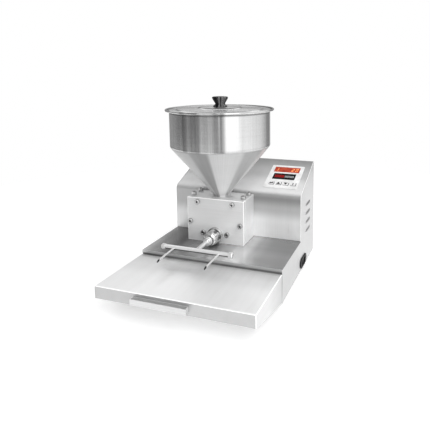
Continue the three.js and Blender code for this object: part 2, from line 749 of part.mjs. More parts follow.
function needlePlaces() {
  return [
    ["needle_left", PUMP_X - NEEDLE_SPACING / 2],
    ["needle_right", PUMP_X + NEEDLE_SPACING / 2],
  ];
}

function addManifold() {
  const end = MANIFOLD_HALF - 4;
  const tube = turnedX(sleeve(3.6, MANIFOLD_RADIUS, -end, end), LARGE, MANIFOLD_Y, OUTLET_Z, PUMP_X);
  const ports = [turnedY(rod(3.4, MANIFOLD_Y, MANIFOLD_Y + 10), SMALL, PUMP_X, OUTLET_Z)];
  for (const [, x] of needlePlaces()) {
    ports.push(turnedY(rod(1.4, MANIFOLD_Y - 10, MANIFOLD_Y), SMALL, x, OUTLET_Z));
  }
  add("manifold_tube", cut(tube, ...ports), BRIGHT_STEEL);

  for (const [name, s] of [
    ["end_cap_left", -1],
    ["end_cap_right", 1],
  ]) {
    const cap = [
      [0, end + GAP],
      [MANIFOLD_RADIUS + GAP, end + GAP],
      [MANIFOLD_RADIUS + GAP, end - 6],
      [6.4, end - 6],
      [6.4, MANIFOLD_HALF - 1.2],
      [5.2, MANIFOLD_HALF],
      [0, MANIFOLD_HALF],
    ];
    const geometry = turned(cap, LARGE)
      .rotateZ(-Math.PI / 2)
      .rotateY(s > 0 ? 0 : Math.PI);
    add(name, geometry.translate(PUMP_X, MANIFOLD_Y, OUTLET_Z), BRIGHT_STEEL);
  }
}

// The needles droop a little, and their tips are cut at a slant that faces up.
function addNeedles() {
  const droop = THREE.MathUtils.degToRad(2);
  const root = MANIFOLD_RADIUS - 0.8;
  for (const [name, x] of needlePlaces()) {
    const holder = new THREE.Group();
    holder.position.set(x, MANIFOLD_Y, OUTLET_Z);
    holder.rotation.x = droop;
    machine.add(holder);
    const tube = turned(sleeve(1.3, 2.1, -NEEDLE_LENGTH - MANIFOLD_RADIUS, -root), SMALL);
    const tipEnd = -NEEDLE_LENGTH - MANIFOLD_RADIUS;
    const slant = acrossX(
      outline([
        [tipEnd - 1, -2.2],
        [tipEnd + 9, 2.3],
        [tipEnd + 9, 6],
        [tipEnd - 4, 6],
        [tipEnd - 4, -2.2],
      ]),
      -5,
      5,
    );
    const saddle = turnedX(rod(MANIFOLD_RADIUS + GAP, -8, 8), LARGE, 0, 0);
    add(name, cut(tube, slant, saddle), BRIGHT_STEEL, holder);
  }
}

// ---------- hopper and lid ----------
function addHopper() {
  const wall = 1.2;
  const inner = HOPPER_RADIUS - wall;
  const rolled = 2.5;
  const edge = [];
  const steps = 4;
  for (let i = 0; i <= steps; i++) {
    const angle = -Math.PI / 2 + (Math.PI * 1.25 * i) / steps;
    edge.push([RIM_RADIUS + rolled * Math.cos(angle), RIM_BASE + rolled * (1 + Math.sin(angle))]);
  }
  const profile = [
    [NECK_BORE, 181],
    [NECK_RADIUS, 181],
    [NECK_RADIUS, 199],
    [HOPPER_RADIUS, HOPPER_CONE_TOP],
    [HOPPER_RADIUS, RIM_BASE - 1.5],
    [HOPPER_RADIUS + 1.5, RIM_BASE],
    ...edge,
    [RIM_RADIUS - 2.6, RIM_BASE + wall],
    [inner, RIM_BASE + wall],
    [inner, HOPPER_CONE_TOP + 0.6],
    [NECK_BORE, 199.6],
  ];
  add("hopper", turnedZ(profile, LARGE, PUMP_X, HOPPER_Y), SATIN_STEEL);
}

function addLid() {
  const under = RIM_BASE + 1.2 + GAP;
  const sheet = 1.1;
  const register = 2.7; // hangs inside the hopper's mouth and centres the lid
  const profile = [
    [0, under + 6.2],
    [52, under + 6.2],
    [56, under + 3.4],
    [106, under + 2.6],
    [110, under],
    [122, under],
    [122, under - register],
    [123.1, under - register],
    [123.1, under],
    [129, under],
    [129, under + sheet],
    [110.8, under + sheet],
    [106.8, under + 2.6 + sheet],
    [56.8, under + 3.4 + sheet],
    [52.8, under + 6.2 + sheet],
    [0, under + 6.2 + sheet],
  ];
  add("lid", turnedZ(profile, LARGE, PUMP_X, HOPPER_Y), SATIN_STEEL);

  const foot = under + 6.2 + sheet + GAP;
  const knob = [
    [0, foot],
    [17.5, foot],
    [18.2, foot + 1.6],
    [16.5, foot + 3],
    [12.6, foot + 6.5],
    [12.6, foot + 8.5],
    [19, KNOB_TOP - 6],
    [20.2, KNOB_TOP - 3],
    [18.5, KNOB_TOP],
    [0, KNOB_TOP],
  ];
  add("lid_knob", turnedZ(knob, LARGE, PUMP_X, HOPPER_Y), BLACK_PLASTIC);
}

// ---------- tray ----------
const TRAY_BACK = SEAM - 2.5;
const WING_REAR_BOTTOM = 6.5;

function addTray() {
  const top = block(-SIDE, SIDE, FRONT, TRAY_BACK, TRAY_TOP - SHEET, TRAY_TOP);
  const fascia = block(-SIDE, SIDE, FRONT, FRONT + SHEET, FASCIA_BOTTOM, TRAY_TOP - 0.5);
  const hem = block(-SIDE + 4, SIDE - 4, FRONT + 0.5, FRONT + 9, FASCIA_BOTTOM, FASCIA_BOTTOM + SHEET);
  const wing = outline([
    [FRONT + 0.2, FASCIA_BOTTOM],
    [TRAY_BACK, WING_REAR_BOTTOM],
    [TRAY_BACK, TRAY_TOP - 0.5],
    [FRONT + 0.2, TRAY_TOP - 0.5],
  ]);
  const wings = [acrossX(wing, SIDE - SHEET, SIDE), acrossX(wing, -SIDE, -SIDE + SHEET)];
  add("tray", join(top, fascia, hem, ...wings), SATIN_STEEL);
}

// A trough on the fascia, open at the top for the fingers and closed at its ends.
function addTrayHandle() {
  const x0 = -85;
  const x1 = 40;
  const back = FRONT - GAP;
  const front = FRONT - HANDLE_REACH;
  const low = FASCIA_BOTTOM + 7.7;
  const high = FASCIA_BOTTOM + 20;
  const solid = block(x0, x1, front, back, low, high);
  const trough = block(x0 + 1.3, x1 - 1.3, front + 1.3, back - 1.3, low + 1.3, high + 5);
  add("tray_handle", cut(solid, trough), SATIN_STEEL);
}

function addTrayRunners() {
  const outer = INSIDE - 1.8;
  for (const [name, s] of [
    ["tray_runner_left", -1],
    ["tray_runner_right", 1],
  ]) {
    const x0 = Math.min(s * outer, s * (outer - 9));
    const x1 = Math.max(s * outer, s * (outer - 9));
    add(name, block(x0, x1, FRONT + 45, SEAM + 119, RUNNER_LOW, RUNNER_HIGH), SATIN_STEEL);
  }
}

addBottomPlate();
addFeet();
addSidePanel("side_panel_left", -1);
addSidePanel("side_panel_right", 1);
addDeck();
addFrontBulkhead();
addTrayGuides();
addHousingCover();
addBackPanel();
addMainsInlet();
addSwitch();
addControlPanel();
addPumpBody();
addPumpCover();
addCoverGasket();
addPumpGears();
addHopperSeal();
addPumpBolts();
addPumpPedestal();
addDrive();
addPowerSupply();
addOutlet();
addManifold();
addNeedles();
addHopper();
addLid();
addTray();
addTrayHandle();
addTrayRunners();

export default machine;
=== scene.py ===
import json
import math

import bmesh
import bpy
from mathutils import Matrix, Vector


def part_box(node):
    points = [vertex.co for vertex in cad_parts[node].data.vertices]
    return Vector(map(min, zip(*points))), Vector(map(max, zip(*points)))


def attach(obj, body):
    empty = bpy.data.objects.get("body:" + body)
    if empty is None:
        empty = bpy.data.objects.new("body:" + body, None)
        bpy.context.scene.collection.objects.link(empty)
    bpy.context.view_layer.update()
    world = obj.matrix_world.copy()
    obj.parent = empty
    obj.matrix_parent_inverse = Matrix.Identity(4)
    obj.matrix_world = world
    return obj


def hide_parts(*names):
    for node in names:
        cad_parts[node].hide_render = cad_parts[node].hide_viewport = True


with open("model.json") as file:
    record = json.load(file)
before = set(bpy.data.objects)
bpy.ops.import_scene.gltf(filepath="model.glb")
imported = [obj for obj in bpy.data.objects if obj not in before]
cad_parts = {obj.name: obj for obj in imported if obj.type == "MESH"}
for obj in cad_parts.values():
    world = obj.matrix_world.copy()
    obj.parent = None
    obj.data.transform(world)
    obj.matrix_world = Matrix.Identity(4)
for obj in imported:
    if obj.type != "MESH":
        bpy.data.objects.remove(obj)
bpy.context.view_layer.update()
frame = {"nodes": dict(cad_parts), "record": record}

BODY_OF = {node: body for body, nodes in frame["record"]["behaviour"]["bodies"].items() for node in nodes}
MM = 0.001
X, Y, Z = 0, 1, 2
SLOPE = math.atan2(60.5, 147)  # rise over run of the housing's top, which the control panel lies on
SHEET = 1.5
GAP = 0.3  # between sheets


def box(node):
    """Lowest and highest corner of a CAD node."""
    low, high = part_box(node)
    return low / MM, high / MM


def middle(node):
    """Centre of a CAD node's box."""
    low, high = box(node)
    return (low + high) / 2


PUMP_X = middle("hopper").x
HOPPER_Y = middle("hopper").y
CONE_TOP = 326  # height where the hopper's bowl meets its cone
SIDE = box("side_panel_right")[1].x - 3  # the louvres stand 3 mm proud
HOUSING_FRONT = box("housing_cover")[0].y
DECK_TOP = box("deck_plate")[1].z


# ---------- shader building ----------
def grey(value, warmth=0.0):
    return (value * (1 + warmth), value, value * (1 - warmth))


class Shader:
    """The node tree of a material or a world, with short ways to add the nodes that are used often.

    A socket is fed with another node's output, a number or a colour.
    """

    def __init__(self, owner):
        owner.use_nodes = True
        self.owner = owner
        self.tree = owner.node_tree
        self.surface = self.tree.nodes.get("Principled BSDF")

    def feed(self, socket, value):
        if isinstance(value, bpy.types.NodeSocket):
            self.tree.links.new(value, socket)
        elif socket.type == "RGBA":
            socket.default_value = (*value[:3], 1)
        else:
            socket.default_value = value

    def add(self, kind, inputs, **settings):
        """A new node, its inputs fed by name or number."""
        node = self.tree.nodes.new("ShaderNode" + kind)
        for key, value in settings.items():
            setattr(node, key, value)
        for key, value in inputs.items():
            self.feed(node.inputs[key], value)
        return node

    def set(self, **values):
        """Feeds the surface's own sockets, and gives back the material."""
        for key, value in values.items():
            self.feed(self.surface.inputs[key.replace("_", " ")], value)
        return self.owner

    def place(self):
        """Position in the machine's own frame, in metres."""
        return self.add("TexCoord", {}).outputs["Object"]

    def split(self, vector):
        return self.add("SeparateXYZ", {0: vector}).outputs

    def stretch(self, vector, scale):
        return self.add("VectorMath", {0: vector, 1: scale}, operation="MULTIPLY").outputs[0]

    def math(self, operation, first, second=0.0):
        return self.add("Math", {0: first, 1: second}, operation=operation).outputs[0]

    def average(self, first, second):
        return self.math("ADD", self.math("MULTIPLY", first, 0.5), self.math("MULTIPLY", second, 0.5))

    def turn(self, x, y):
        """Angle of a direction or place, from the front towards the right."""
        return self.math("ARCTAN2", x, self.math("MULTIPLY", y, -1))

    def round_hopper(self):
        """(angle from the front, distance from the axis, height) about the hopper's axis."""
        place = self.split(self.place())
        dx = self.math("SUBTRACT", place[X], PUMP_X * MM)
        dy = self.math("SUBTRACT", place[Y], HOPPER_Y * MM)
        squares = self.math("ADD", self.math("MULTIPLY", dx, dx), self.math("MULTIPLY", dy, dy))
        inputs = {0: self.turn(dx, dy), 1: self.math("SQRT", squares), 2: place[Z]}
        return self.add("CombineXYZ", inputs).outputs[0]

    def noise(self, vector, scale=1.0, detail=2.0, roughness=0.5):
        """Cloudy noise, its scale in lumps per unit of the vector."""
        inputs = {"Vector": vector, "Scale": scale, "Detail": detail, "Roughness": roughness}
        return self.add("TexNoise", inputs).outputs["Fac"]

    def spread(self, value, low=0.0, high=1.0, start=0.3, end=0.7, **settings):
        """Maps start..end of a value to low..high."""
        inputs = {"Value": value, "From Min": start, "From Max": end, "To Min": low, "To Max": high}
        return self.add("MapRange", inputs, **settings).outputs["Result"]

    def ramp(self, value, stops, unit=1.0):
        """A smooth grey through stops of (value, grey), the values in that unit."""
        low, high = stops[0][0], stops[-1][0]
        node = self.add("ValToRGB", {"Fac": self.spread(value, 0.0, 1.0, low * unit, high * unit)})
        node.color_ramp.interpolation = "EASE"
        marks = node.color_ramp.elements
        while len(marks) < len(stops):
            marks.new(0.5)
        for mark, (at, tone) in zip(marks, stops):
            mark.position = (at - low) / (high - low)
            mark.color = (*grey(tone), 1)
        return node.outputs["Color"]

    def mix(self, factor, first, second, blend="MIX"):
        inputs = {0: factor, 6: first, 7: second}
        return self.add("Mix", inputs, data_type="RGBA", blend_type=blend).outputs[2]

    def tint(self, color, factor):
        """A colour multiplied by a grey."""
        return self.mix(1.0, color, factor, "MULTIPLY")

    def shade(self, cloud, color, dark, light):
        """A colour that goes from dark to light times itself through the middle of a noise."""
        ends = [[min(1.0, c * share) for c in color] for share in (dark, light)]
        return self.mix(self.spread(cloud), *ends)

    def bump(self, height, distance, **under):
        return self.add("Bump", {"Height": height, "Distance": distance * MM, **under}).outputs["Normal"]


# ---------- materials ----------
def new_material(name):
    return Shader(bpy.data.materials.new(name))


WHITE = grey(1.0)
FINE_BUMP = 0.004


def brushed_steel(name, bright, rough, grain, shading_tables=(), mirror=1.0, glow=0.0):
    """Steel sheet with a brushed grain. grain is the pattern's fineness along X, Y and Z, per metre.

    Each table of painted shading is (axis, stops): painted reflections and shade, how much the colour darkens
    along that axis of the machine. It may go on with (edge, left_stops), the stops left of x = edge. mirror
    is the share of the light that isn't scattered by the grain. glow is a painted highlight, standing in for
    the highlight that a narrow bend catches.
    """
    shader = new_material(name)
    place = shader.place()
    fine = shader.noise(shader.stretch(place, grain), 1.0, 3.0, 0.6)
    broad = shader.noise(shader.stretch(place, [g / 14 for g in grain]))
    tone = shader.average(fine, broad)
    color = shader.mix(shader.spread(tone), grey(bright * 0.93), grey(bright * 1.05, -0.004))
    along = shader.split(place)
    for axis, stops, *left in shading_tables:
        painted_shading = shader.ramp(along[axis], stops, MM)
        if left:
            edge, left_stops = left
            rightward = shader.spread(along[X], 0.0, 1.0, (edge - 5) * MM, (edge + 5) * MM)
            painted_shading = shader.mix(rightward, shader.ramp(along[axis], left_stops, MM), painted_shading)
        color = shader.tint(color, painted_shading)
    worn = shader.spread(shader.noise(place, 9.0, 3.0), -0.03, 0.04)
    roughness = shader.math("ADD", shader.spread(tone, rough - 0.05, rough + 0.06), worn)
    shader.set(Metallic=mirror, Emission_Color=WHITE, Emission_Strength=glow)
    return shader.set(Base_Color=color, Roughness=roughness, Normal=shader.bump(fine, 3 * FINE_BUMP))


def spun_steel(name, bright, rough, sectors, circles, wave=0.0, anisotropic=0.7, cone=None):
    """Sheet steel rolled and spun about the hopper's axis: rings of fine grain, and soft waves round it.

    sectors and circles are painted reflections and shade: how much the colour darkens with the angle from the
    front and with the distance from the axis. cone is (height, sectors, heights): below that height the steel
    is satin, with its own painted sectors, and heights is the painted shade up and down the whole piece.
    """
    shader = new_material(name)
    place = shader.round_hopper()
    rings = shader.noise(shader.stretch(place, (1.5, 1400, 1400)))
    strips = shader.noise(shader.stretch(place, (9, 0, 1.2)), 1.0, 2.0, 0.4)
    narrow = shader.noise(shader.stretch(place, (38, 0, 2.0)), 1.0, 1.0)
    tone = shader.average(rings, narrow)
    color = shader.mix(shader.spread(tone), grey(bright * 0.92), grey(bright * 1.05, -0.004))
    roughness = shader.spread(tone, rough - 0.04, rough + 0.05)
    turn, radius, height = shader.split(place)
    color = shader.tint(color, shader.ramp(radius, circles, MM))
    shade = shader.ramp(turn, sectors)
    mirror = 1.0
    if cone:
        top, cone_sectors, heights = cone
        upper = shader.spread(height, 0.0, 1.0, (top - 2) * MM, (top + 2) * MM)
        shade = shader.mix(upper, shader.ramp(turn, cone_sectors), shade)
        color = shader.tint(color, shader.ramp(height, heights, MM))
        mirror = shader.spread(upper, 0.35, 1.0, 0.0, 1.0)
        roughness = shader.math("ADD", roughness, shader.spread(upper, 0.2, 0.0, 0.0, 1.0))
    color = shader.tint(color, shade)
    normal = shader.bump(rings, FINE_BUMP)
    if wave:
        normal = shader.bump(strips, wave, Normal=normal)
    tangent = shader.add("Tangent", {}, direction_type="RADIAL", axis="Z").outputs[0]
    shader.set(Metallic=mirror, Anisotropic=anisotropic, Anisotropic_Rotation=0.25, Tangent=tangent)
    return shader.set(Base_Color=color, Roughness=roughness, Normal=normal)


def turned_steel(name, bright, rough):
    """Bright machined steel, with the faint marks of the lathe and of handling."""
    shader = new_material(name)
    place = shader.place()
    marks = shader.noise(place, 1600.0)
    cloud = shader.noise(place, 60.0, 3.0)
    color = shader.shade(cloud, grey(bright), 0.95, 1.03)
    roughness = shader.spread(cloud, rough - 0.04, rough + 0.06)
    shader.set(Metallic=1.0, Normal=shader.bump(marks, FINE_BUMP))
    return shader.set(Base_Color=color, Roughness=roughness)


def moulded_plastic(name, color, rough, grain=900.0, depth=0.02, shine=0.5, glints=()):
    """Moulded plastic with a fine spark-eroded grain and slight cloudiness.

    glints is how far its colour goes to grey at angles from the front about the hopper's axis: painted
    glints.
    """
    shader = new_material(name)
    place = shader.place()
    pebbles = shader.noise(place, grain)
    cloud = shader.noise(place, 45.0, 3.0)
    tone = shader.shade(cloud, color, 0.86, 1.1)
    if glints:
        turn = shader.split(shader.round_hopper())[0]
        tone = shader.mix(shader.ramp(turn, glints), tone, grey(0.20))
    roughness = shader.spread(cloud, rough - 0.05, rough + 0.07)
    shader.set(Specular_IOR_Level=shine)
    return shader.set(Base_Color=tone, Roughness=roughness, Normal=shader.bump(pebbles, depth))


def printed(name, color):
    """Screen-printed ink: flat, with a slightly uneven film."""
    shader = new_material(name)
    film = shader.noise(shader.place(), 700.0)
    tone = shader.shade(film, color, 0.85, 1.12)
    shader.set(Specular_IOR_Level=0.08, Normal=shader.bump(film, FINE_BUMP))
    return shader.set(Base_Color=tone, Roughness=shader.spread(film, 0.5, 0.62))


def lit_window(name, deep, glow, strength):
    """A tinted window over a lit display, blotchy, with fine upright ribs."""
    shader = new_material(name)
    place = shader.place()
    blotch = shader.noise(shader.stretch(place, (60, 120, 120)))
    ribs = shader.noise(shader.stretch(place, (700, 60, 60)), 1.0, 1.0)
    tone = shader.mix(shader.spread(blotch), deep, glow)
    shader.set(Roughness=0.3, Specular_IOR_Level=0.15, Normal=shader.bump(ribs, 0.01))
    return shader.set(Base_Color=tone, Emission_Color=tone, Emission_Strength=strength)


def painted_casting(name, color, rough):
    """Cast or formed metal under hammered paint."""
    shader = new_material(name)
    place = shader.place()
    hammer = shader.noise(place, 420.0)
    cloud = shader.noise(place, 30.0, 4.0)
    roughness = shader.spread(cloud, rough - 0.06, rough + 0.08)
    shader.set(Metallic=0.35, Normal=shader.bump(hammer, 0.08))
    return shader.set(Base_Color=shader.shade(cloud, color, 0.85, 1.1), Roughness=roughness)


def circuit_laminate(name, color):
    """Circuit board lacquer, with the lines of its copper tracks."""
    shader = new_material(name)
    place = shader.place()
    second = [c * share for c, share in zip(color, (1.2, 1.15, 1.2))]
    mortar = [c * share for c, share in zip(color, (2.0, 1.7, 1.5))]
    inputs = {"Color1": color, "Color2": second, "Mortar": mortar, "Mortar Size": 0.04}
    inputs["Vector"] = shader.stretch(place, (260, 260, 260))
    tracks = shader.add("TexBrick", inputs).outputs["Color"]
    roughness = shader.spread(shader.noise(place, 80.0), 0.4, 0.55)
    return shader.set(Coat_Weight=0.4, Coat_Roughness=0.15, Base_Color=tracks, Roughness=roughness)


# Painted reflections and shade: how much the steels' colour darkens along the axes of the machine, as stops
# of (place, tone).
FRONT = box("tray")[0].y
TUBE = middle("manifold_tube")
HOUSING_LEFT = -100  # left of this x, the housing has the second stops
TRAY_TONES = [
    (X, [(-178, 0.75), (-176.8, 0.75), (-176.2, 0.91), (0, 0.95), (80, 1.0), (176.2, 1.0), (176.8, 0.75),
         (178, 0.75)]),
    (Y, [(FRONT, 0.58), (FRONT + 0.4, 0.58), (FRONT + 1.2, 1.0), (-170, 1.0), (-120, 0.88), (-80, 0.78)]),
]
HOUSING_TONES = [
    (Z, [(80, 1.0), (125, 0.90), (160, 0.52), (188, 0.28), (197, 0.38), (205, 0.90), (215, 0.82),
         (235, 0.54), (262, 0.30)],
     HOUSING_LEFT, [(80, 1.0), (125, 0.90), (160, 0.55), (188, 0.55), (197, 0.62), (205, 0.95),
                    (215, 0.86), (235, 0.60), (262, 0.36)]),
]
DECK_TONES = [
    (X, [(-180, 0.62), (-150, 0.32), (-110, 0.13), (-90, 0.30), (-50, 0.50), (0, 0.66), (30, 0.80),
         (40, 1.0), (65, 1.0), (90, 0.64), (120, 0.52), (180, 0.46)]),
    (Y, [(-68, 1.0), (-20, 0.85), (30, 0.64), (100, 0.60)]),
]
# Painted shade: a dark line along the foot of the deck's lip.
LIP_TONES = [(Z, [(75, 0.55), (77.2, 0.80), (78.6, 0.95), (82, 1.0)])]
BLOCK_TONES = [
    (X, [(-110, 0.90), (-30, 0.92), (52, 1.0)]),
    (Z, [(80, 1.0), (125, 1.0), (170, 0.82), (194.5, 0.80), (195.5, 0.76), (200, 0.76)]),
]
# Painted shade: the manifold tube darkens along its underside.
TUBE_TONES = [
    (Z, [(TUBE.z - 5, 0.03), (TUBE.z - 1.4, 0.04), (TUBE.z - 0.4, 0.85), (TUBE.z + 5, 1.0)]),
]

# Painted reflections and shade, as tones by distance from the hopper's axis, and, after RIM_Z, by height.
RIM_TONE = [(0, 1.0), (127.5, 1.0), (130.5, 0.90), (140, 0.90)]
LID_TONE = [
    (0, 1.0), (50, 1.0), (53.5, 0.15), (57.5, 1.0), (104, 1.0), (108, 0.45), (111.5, 1.0), (124, 1.0),
    (127, 0.25), (130, 0.25),
]
RIM_Z = box("hopper")[1].z - 5
HOPPER_HEIGHT_SHADE = [
    (190, 0.90), (215, 1.0), (250, 0.92), (300, 0.84), (322, 0.78), (326, 0.62), (330, 0.85), (334, 1.0),
    (RIM_Z - 6, 1.0), (RIM_Z - 3.5, 0.45), (RIM_Z - 0.8, 0.25), (RIM_Z + 0.4, 1.0), (RIM_Z + 5, 1.0),
]

# Painted reflections, as tones by angle from the front about the hopper's axis, in radians; KNOB_GLINTS are
# painted glints.
BOWL_TONE = [
    (-3.14, 0.75), (-1.10, 0.60), (-0.92, 0.55), (-0.78, 0.85), (-0.36, 0.80), (-0.30, 0.36), (-0.25, 0.40),
    (-0.19, 0.74), (-0.10, 0.55), (0.02, 0.42), (0.09, 0.85), (0.26, 0.80), (0.34, 0.50), (0.48, 0.36),
    (0.54, 0.83), (0.84, 0.83), (1.00, 0.95), (1.25, 0.86), (1.45, 0.66), (1.65, 0.42), (3.14, 0.60),
]
CONE_TONE = [
    (-3.14, 0.80), (-1.30, 0.90), (-0.95, 0.66), (-0.24, 0.64), (-0.16, 0.48), (0.14, 0.54), (0.24, 0.98),
    (0.80, 1.0), (0.95, 0.64), (1.25, 0.60), (1.45, 0.90), (3.14, 0.80),
]
LID_SECTORS = [
    (-3.14, 0.80), (-2.75, 0.50), (-2.35, 0.90), (-1.85, 1.0), (-1.50, 0.75), (-1.25, 0.60), (-0.90, 0.95),
    (0.40, 1.0), (1.30, 1.0), (1.70, 0.60), (2.10, 0.50), (2.40, 0.90), (2.80, 1.0), (3.14, 0.80),
]
KNOB_GLINTS = [
    (-3.14, 0.0), (0.12, 0.0), (0.20, 1.0), (0.36, 1.0), (0.44, 0.05), (0.52, 0.05), (0.62, 0.50),
    (0.82, 0.80), (0.96, 0.30), (1.12, 1.0), (1.35, 0.20), (3.14, 0.0),
]

ALONG_X = (14, 620, 620)
ALONG_Y = (620, 14, 620)
ALONG_Z = (620, 620, 14)
MATERIALS = {
    "tray": brushed_steel("tray_steel", 0.99, 0.34, ALONG_Y, TRAY_TONES, 0.55),
    "deck": brushed_steel("deck_steel", 0.92, 0.19, ALONG_X, DECK_TONES, 0.62),
    "housing": brushed_steel("housing_steel", 0.98, 0.32, ALONG_Z, HOUSING_TONES, 0.25),
    "side": brushed_steel("side_steel", 0.61, 0.38, ALONG_Z),
    # Painted shade: darker steel for the deck's lip, with a dark line along its foot.
    "lip": brushed_steel("lip_steel", 0.60, 0.40, ALONG_X, LIP_TONES),
    # Painted shade: darker steel for the tops of the louvre hoods.
    "hood": brushed_steel("shaded_hood_steel", 0.46, 0.38, ALONG_Y),
    # Painted highlight: pale unpolished steel with a faint glow, on rounded bends and edges.
    "edge": brushed_steel("edge_highlight_steel", 0.98, 0.40, ALONG_X, (), 0.0, 0.18),
    "handle": brushed_steel("handle_steel", 0.74, 0.42, ALONG_X, (), 0.55),
    "inner": brushed_steel("inner_steel", 0.22, 0.55, ALONG_X),
    "block": brushed_steel("block_steel", 0.95, 0.36, ALONG_X, BLOCK_TONES, 0.35),
    "hopper": spun_steel("hopper_steel", 0.92, 0.20, BOWL_TONE, RIM_TONE, 1.2,
                         cone=(CONE_TOP + 0.5, CONE_TONE, HOPPER_HEIGHT_SHADE)),
    "lid": spun_steel("lid_steel", 0.99, 0.24, LID_SECTORS, LID_TONE, anisotropic=0.4),
    "bright": turned_steel("bright_steel", 0.62, 0.14),
    "satin": turned_steel("satin_tube_steel", 0.95, 0.34),
    # Painted shade along the tube's underside, from its tones.
    "tube": brushed_steel("tube_steel", 0.98, 0.32, ALONG_X, TUBE_TONES, 0.6),
    "bolt": turned_steel("bolt_steel", 0.50, 0.20),
    # Painted shade: nearly black steel in the needles' bores and cuts and the bolts' sockets.
    "bore": turned_steel("bore_shade_steel", 0.10, 0.5),
    # Painted shade: dark steel in the union nut's slots and groove.
    "slot": turned_steel("slot_shade_steel", 0.20, 0.4),
    "switch": moulded_plastic("switch_plastic", (0.010, 0.010, 0.011), 0.5, shine=0.2),
    "black": moulded_plastic("black_plastic", (0.008, 0.008, 0.009), 0.16, shine=0.3),
    # Painted glints on the knob's flutes, a little right of the front.
    "knob": moulded_plastic("knob_plastic", (0.003, 0.003, 0.004), 0.12, shine=0.2, glints=KNOB_GLINTS),
    "rubber": moulded_plastic("black_rubber", (0.03, 0.03, 0.03), 0.72),
    "film": moulded_plastic("white_film", (0.93, 0.93, 0.93), 0.42, 1500.0, 0.008),
    "key": moulded_plastic("key_film", (0.88, 0.88, 0.88), 0.38, 1500.0, 0.008),
    "ink": printed("printed_ink", (0.008, 0.008, 0.009)),
    # Grey ink for the set key's mark, and for the keys' painted shadows.
    "shade_ink": printed("shade_ink", (0.15, 0.15, 0.16)),
    "pale_ink": printed("pale_ink", (0.45, 0.46, 0.47)),
    "window": lit_window("display_red", (0.30, 0.025, 0.012), (0.48, 0.07, 0.03), 0.25),
    "digits": lit_window("display_digits", (0.90, 0.30, 0.10), (0.95, 0.42, 0.16), 0.6),
    "red_ink": printed("red_ink", (0.36, 0.008, 0.008)),
    "casting": painted_casting("grey_casting", (0.33, 0.34, 0.35), 0.5),
    "board": circuit_laminate("board_green", (0.02, 0.16, 0.06)),
    "gasket": moulded_plastic("gasket_silicone", (0.74, 0.73, 0.69), 0.6),
}


# ---------- mesh building ----------
IN_MM = Matrix.Scale(MM, 4)


def about_z(x, y, z=0.0):
    """The place of a shape drawn about an upright axis. about_y and about_x lay that axis along Y and X."""
    return IN_MM @ Matrix.Translation((x, y, z))


def about_y(x, z, y=0.0):
    return about_z(x, y, z) @ Matrix.Rotation(-math.pi / 2, 4, "X")


def about_x(y, z, x=0.0):
    return about_z(x, y, z) @ Matrix.Rotation(math.pi / 2, 4, "Y")


def across(x=0.0, y=0.0, z=0.0):
    """The place of an outline that is drawn in (y, z) and filled along x."""
    return about_z(x, y, z) @ Matrix(((0, 0, 1, 0), (1, 0, 0, 0), (0, 1, 0, 0), (0, 0, 0, 1)))


def rounded(points, steps=5, closed=False):
    """A line through points (a, b, radius) in a plane: each corner with a radius becomes an arc."""
    line = []
    for i, (a, b, radius) in enumerate(points):
        here = Vector((a, b))
        at_end = not closed and i in (0, len(points) - 1)
        if radius <= 0 or at_end:
            line.append((a, b))
            continue
        before = Vector(points[i - 1][:2]) - here
        after = Vector(points[(i + 1) % len(points)][:2]) - here
        half = before.angle(after) / 2
        reach = min(radius / math.tan(half), 0.48 * before.length, 0.48 * after.length)
        before.normalize()
        after.normalize()
        centre = here + (before + after).normalized() * reach / math.cos(half)
        start = here + before * reach - centre
        end = here + after * reach - centre
        first = math.atan2(start.y, start.x)
        sweep = (math.atan2(end.y, end.x) - first + math.pi) % (2 * math.pi) - math.pi
        for k in range(steps + 1):
            angle = first + sweep * k / steps
            line.append(tuple(centre + start.length * Vector((math.cos(angle), math.sin(angle)))))
    return line


def hexagon(angle, radius):
    """Radius of a hexagon, radius across its flats."""
    return radius / math.cos((angle + math.pi / 6) % (math.pi / 3) - math.pi / 6)


def ridged(count, depth):
    """A ring with that many ridges, the hollows depth deep."""
    return lambda angle, radius: radius - depth * (0.5 + 0.5 * math.cos(count * angle)) ** 2


def fluted(count, depth):
    """A ring with that many sharp hollows."""
    return lambda angle, radius: radius - depth * abs(math.sin(count * angle / 2)) ** 0.7


def lathe(profile, place, sides=96, closed=False):
    """Turns a profile of (radius, distance) or (radius, distance, shape) about the place's own z axis."""
    bm = bmesh.new()
    rings = []
    for radius, distance, *shape in profile:
        if radius <= 0:
            rings.append([bm.verts.new((0, 0, distance))])
            continue
        ring = []
        for i in range(sides):
            angle = 2 * math.pi * i / sides
            reach = shape[0](angle, radius) if shape else radius
            ring.append(bm.verts.new((reach * math.cos(angle), reach * math.sin(angle), distance)))
        rings.append(ring)
    pairs = list(zip(rings, rings[1:]))
    if closed:
        pairs.append((rings[-1], rings[0]))
    for low, high in pairs:
        for i in range(sides):
            j = (i + 1) % sides
            corners = [low[i % len(low)], low[j % len(low)], high[j % len(high)], high[i % len(high)]]
            face = list(dict.fromkeys(corners))
            if len(face) > 2:
                bm.faces.new(face)
    bmesh.ops.recalc_face_normals(bm, faces=bm.faces)
    bm.transform(place)
    return bm


def rod(radius, start, end, place, sides=96):
    """A plain cylinder along the place's own z axis."""
    return lathe([(0, start), (radius, start), (radius, end), (0, end)], place, sides)


def prism(outline, low, high, place):
    """An outline of (a, b) points, filled from low to high along the place's own z axis."""
    bm = bmesh.new()
    bottom = [bm.verts.new((a, b, low)) for a, b in outline]
    top = [bm.verts.new((a, b, high)) for a, b in outline]
    bm.faces.new(bottom)
    bm.faces.new(top)
    for i in range(len(outline)):
        j = (i + 1) % len(outline)
        bm.faces.new((bottom[i], bottom[j], top[j], top[i]))
    bmesh.ops.recalc_face_normals(bm, faces=bm.faces)
    bm.transform(place)
    return bm


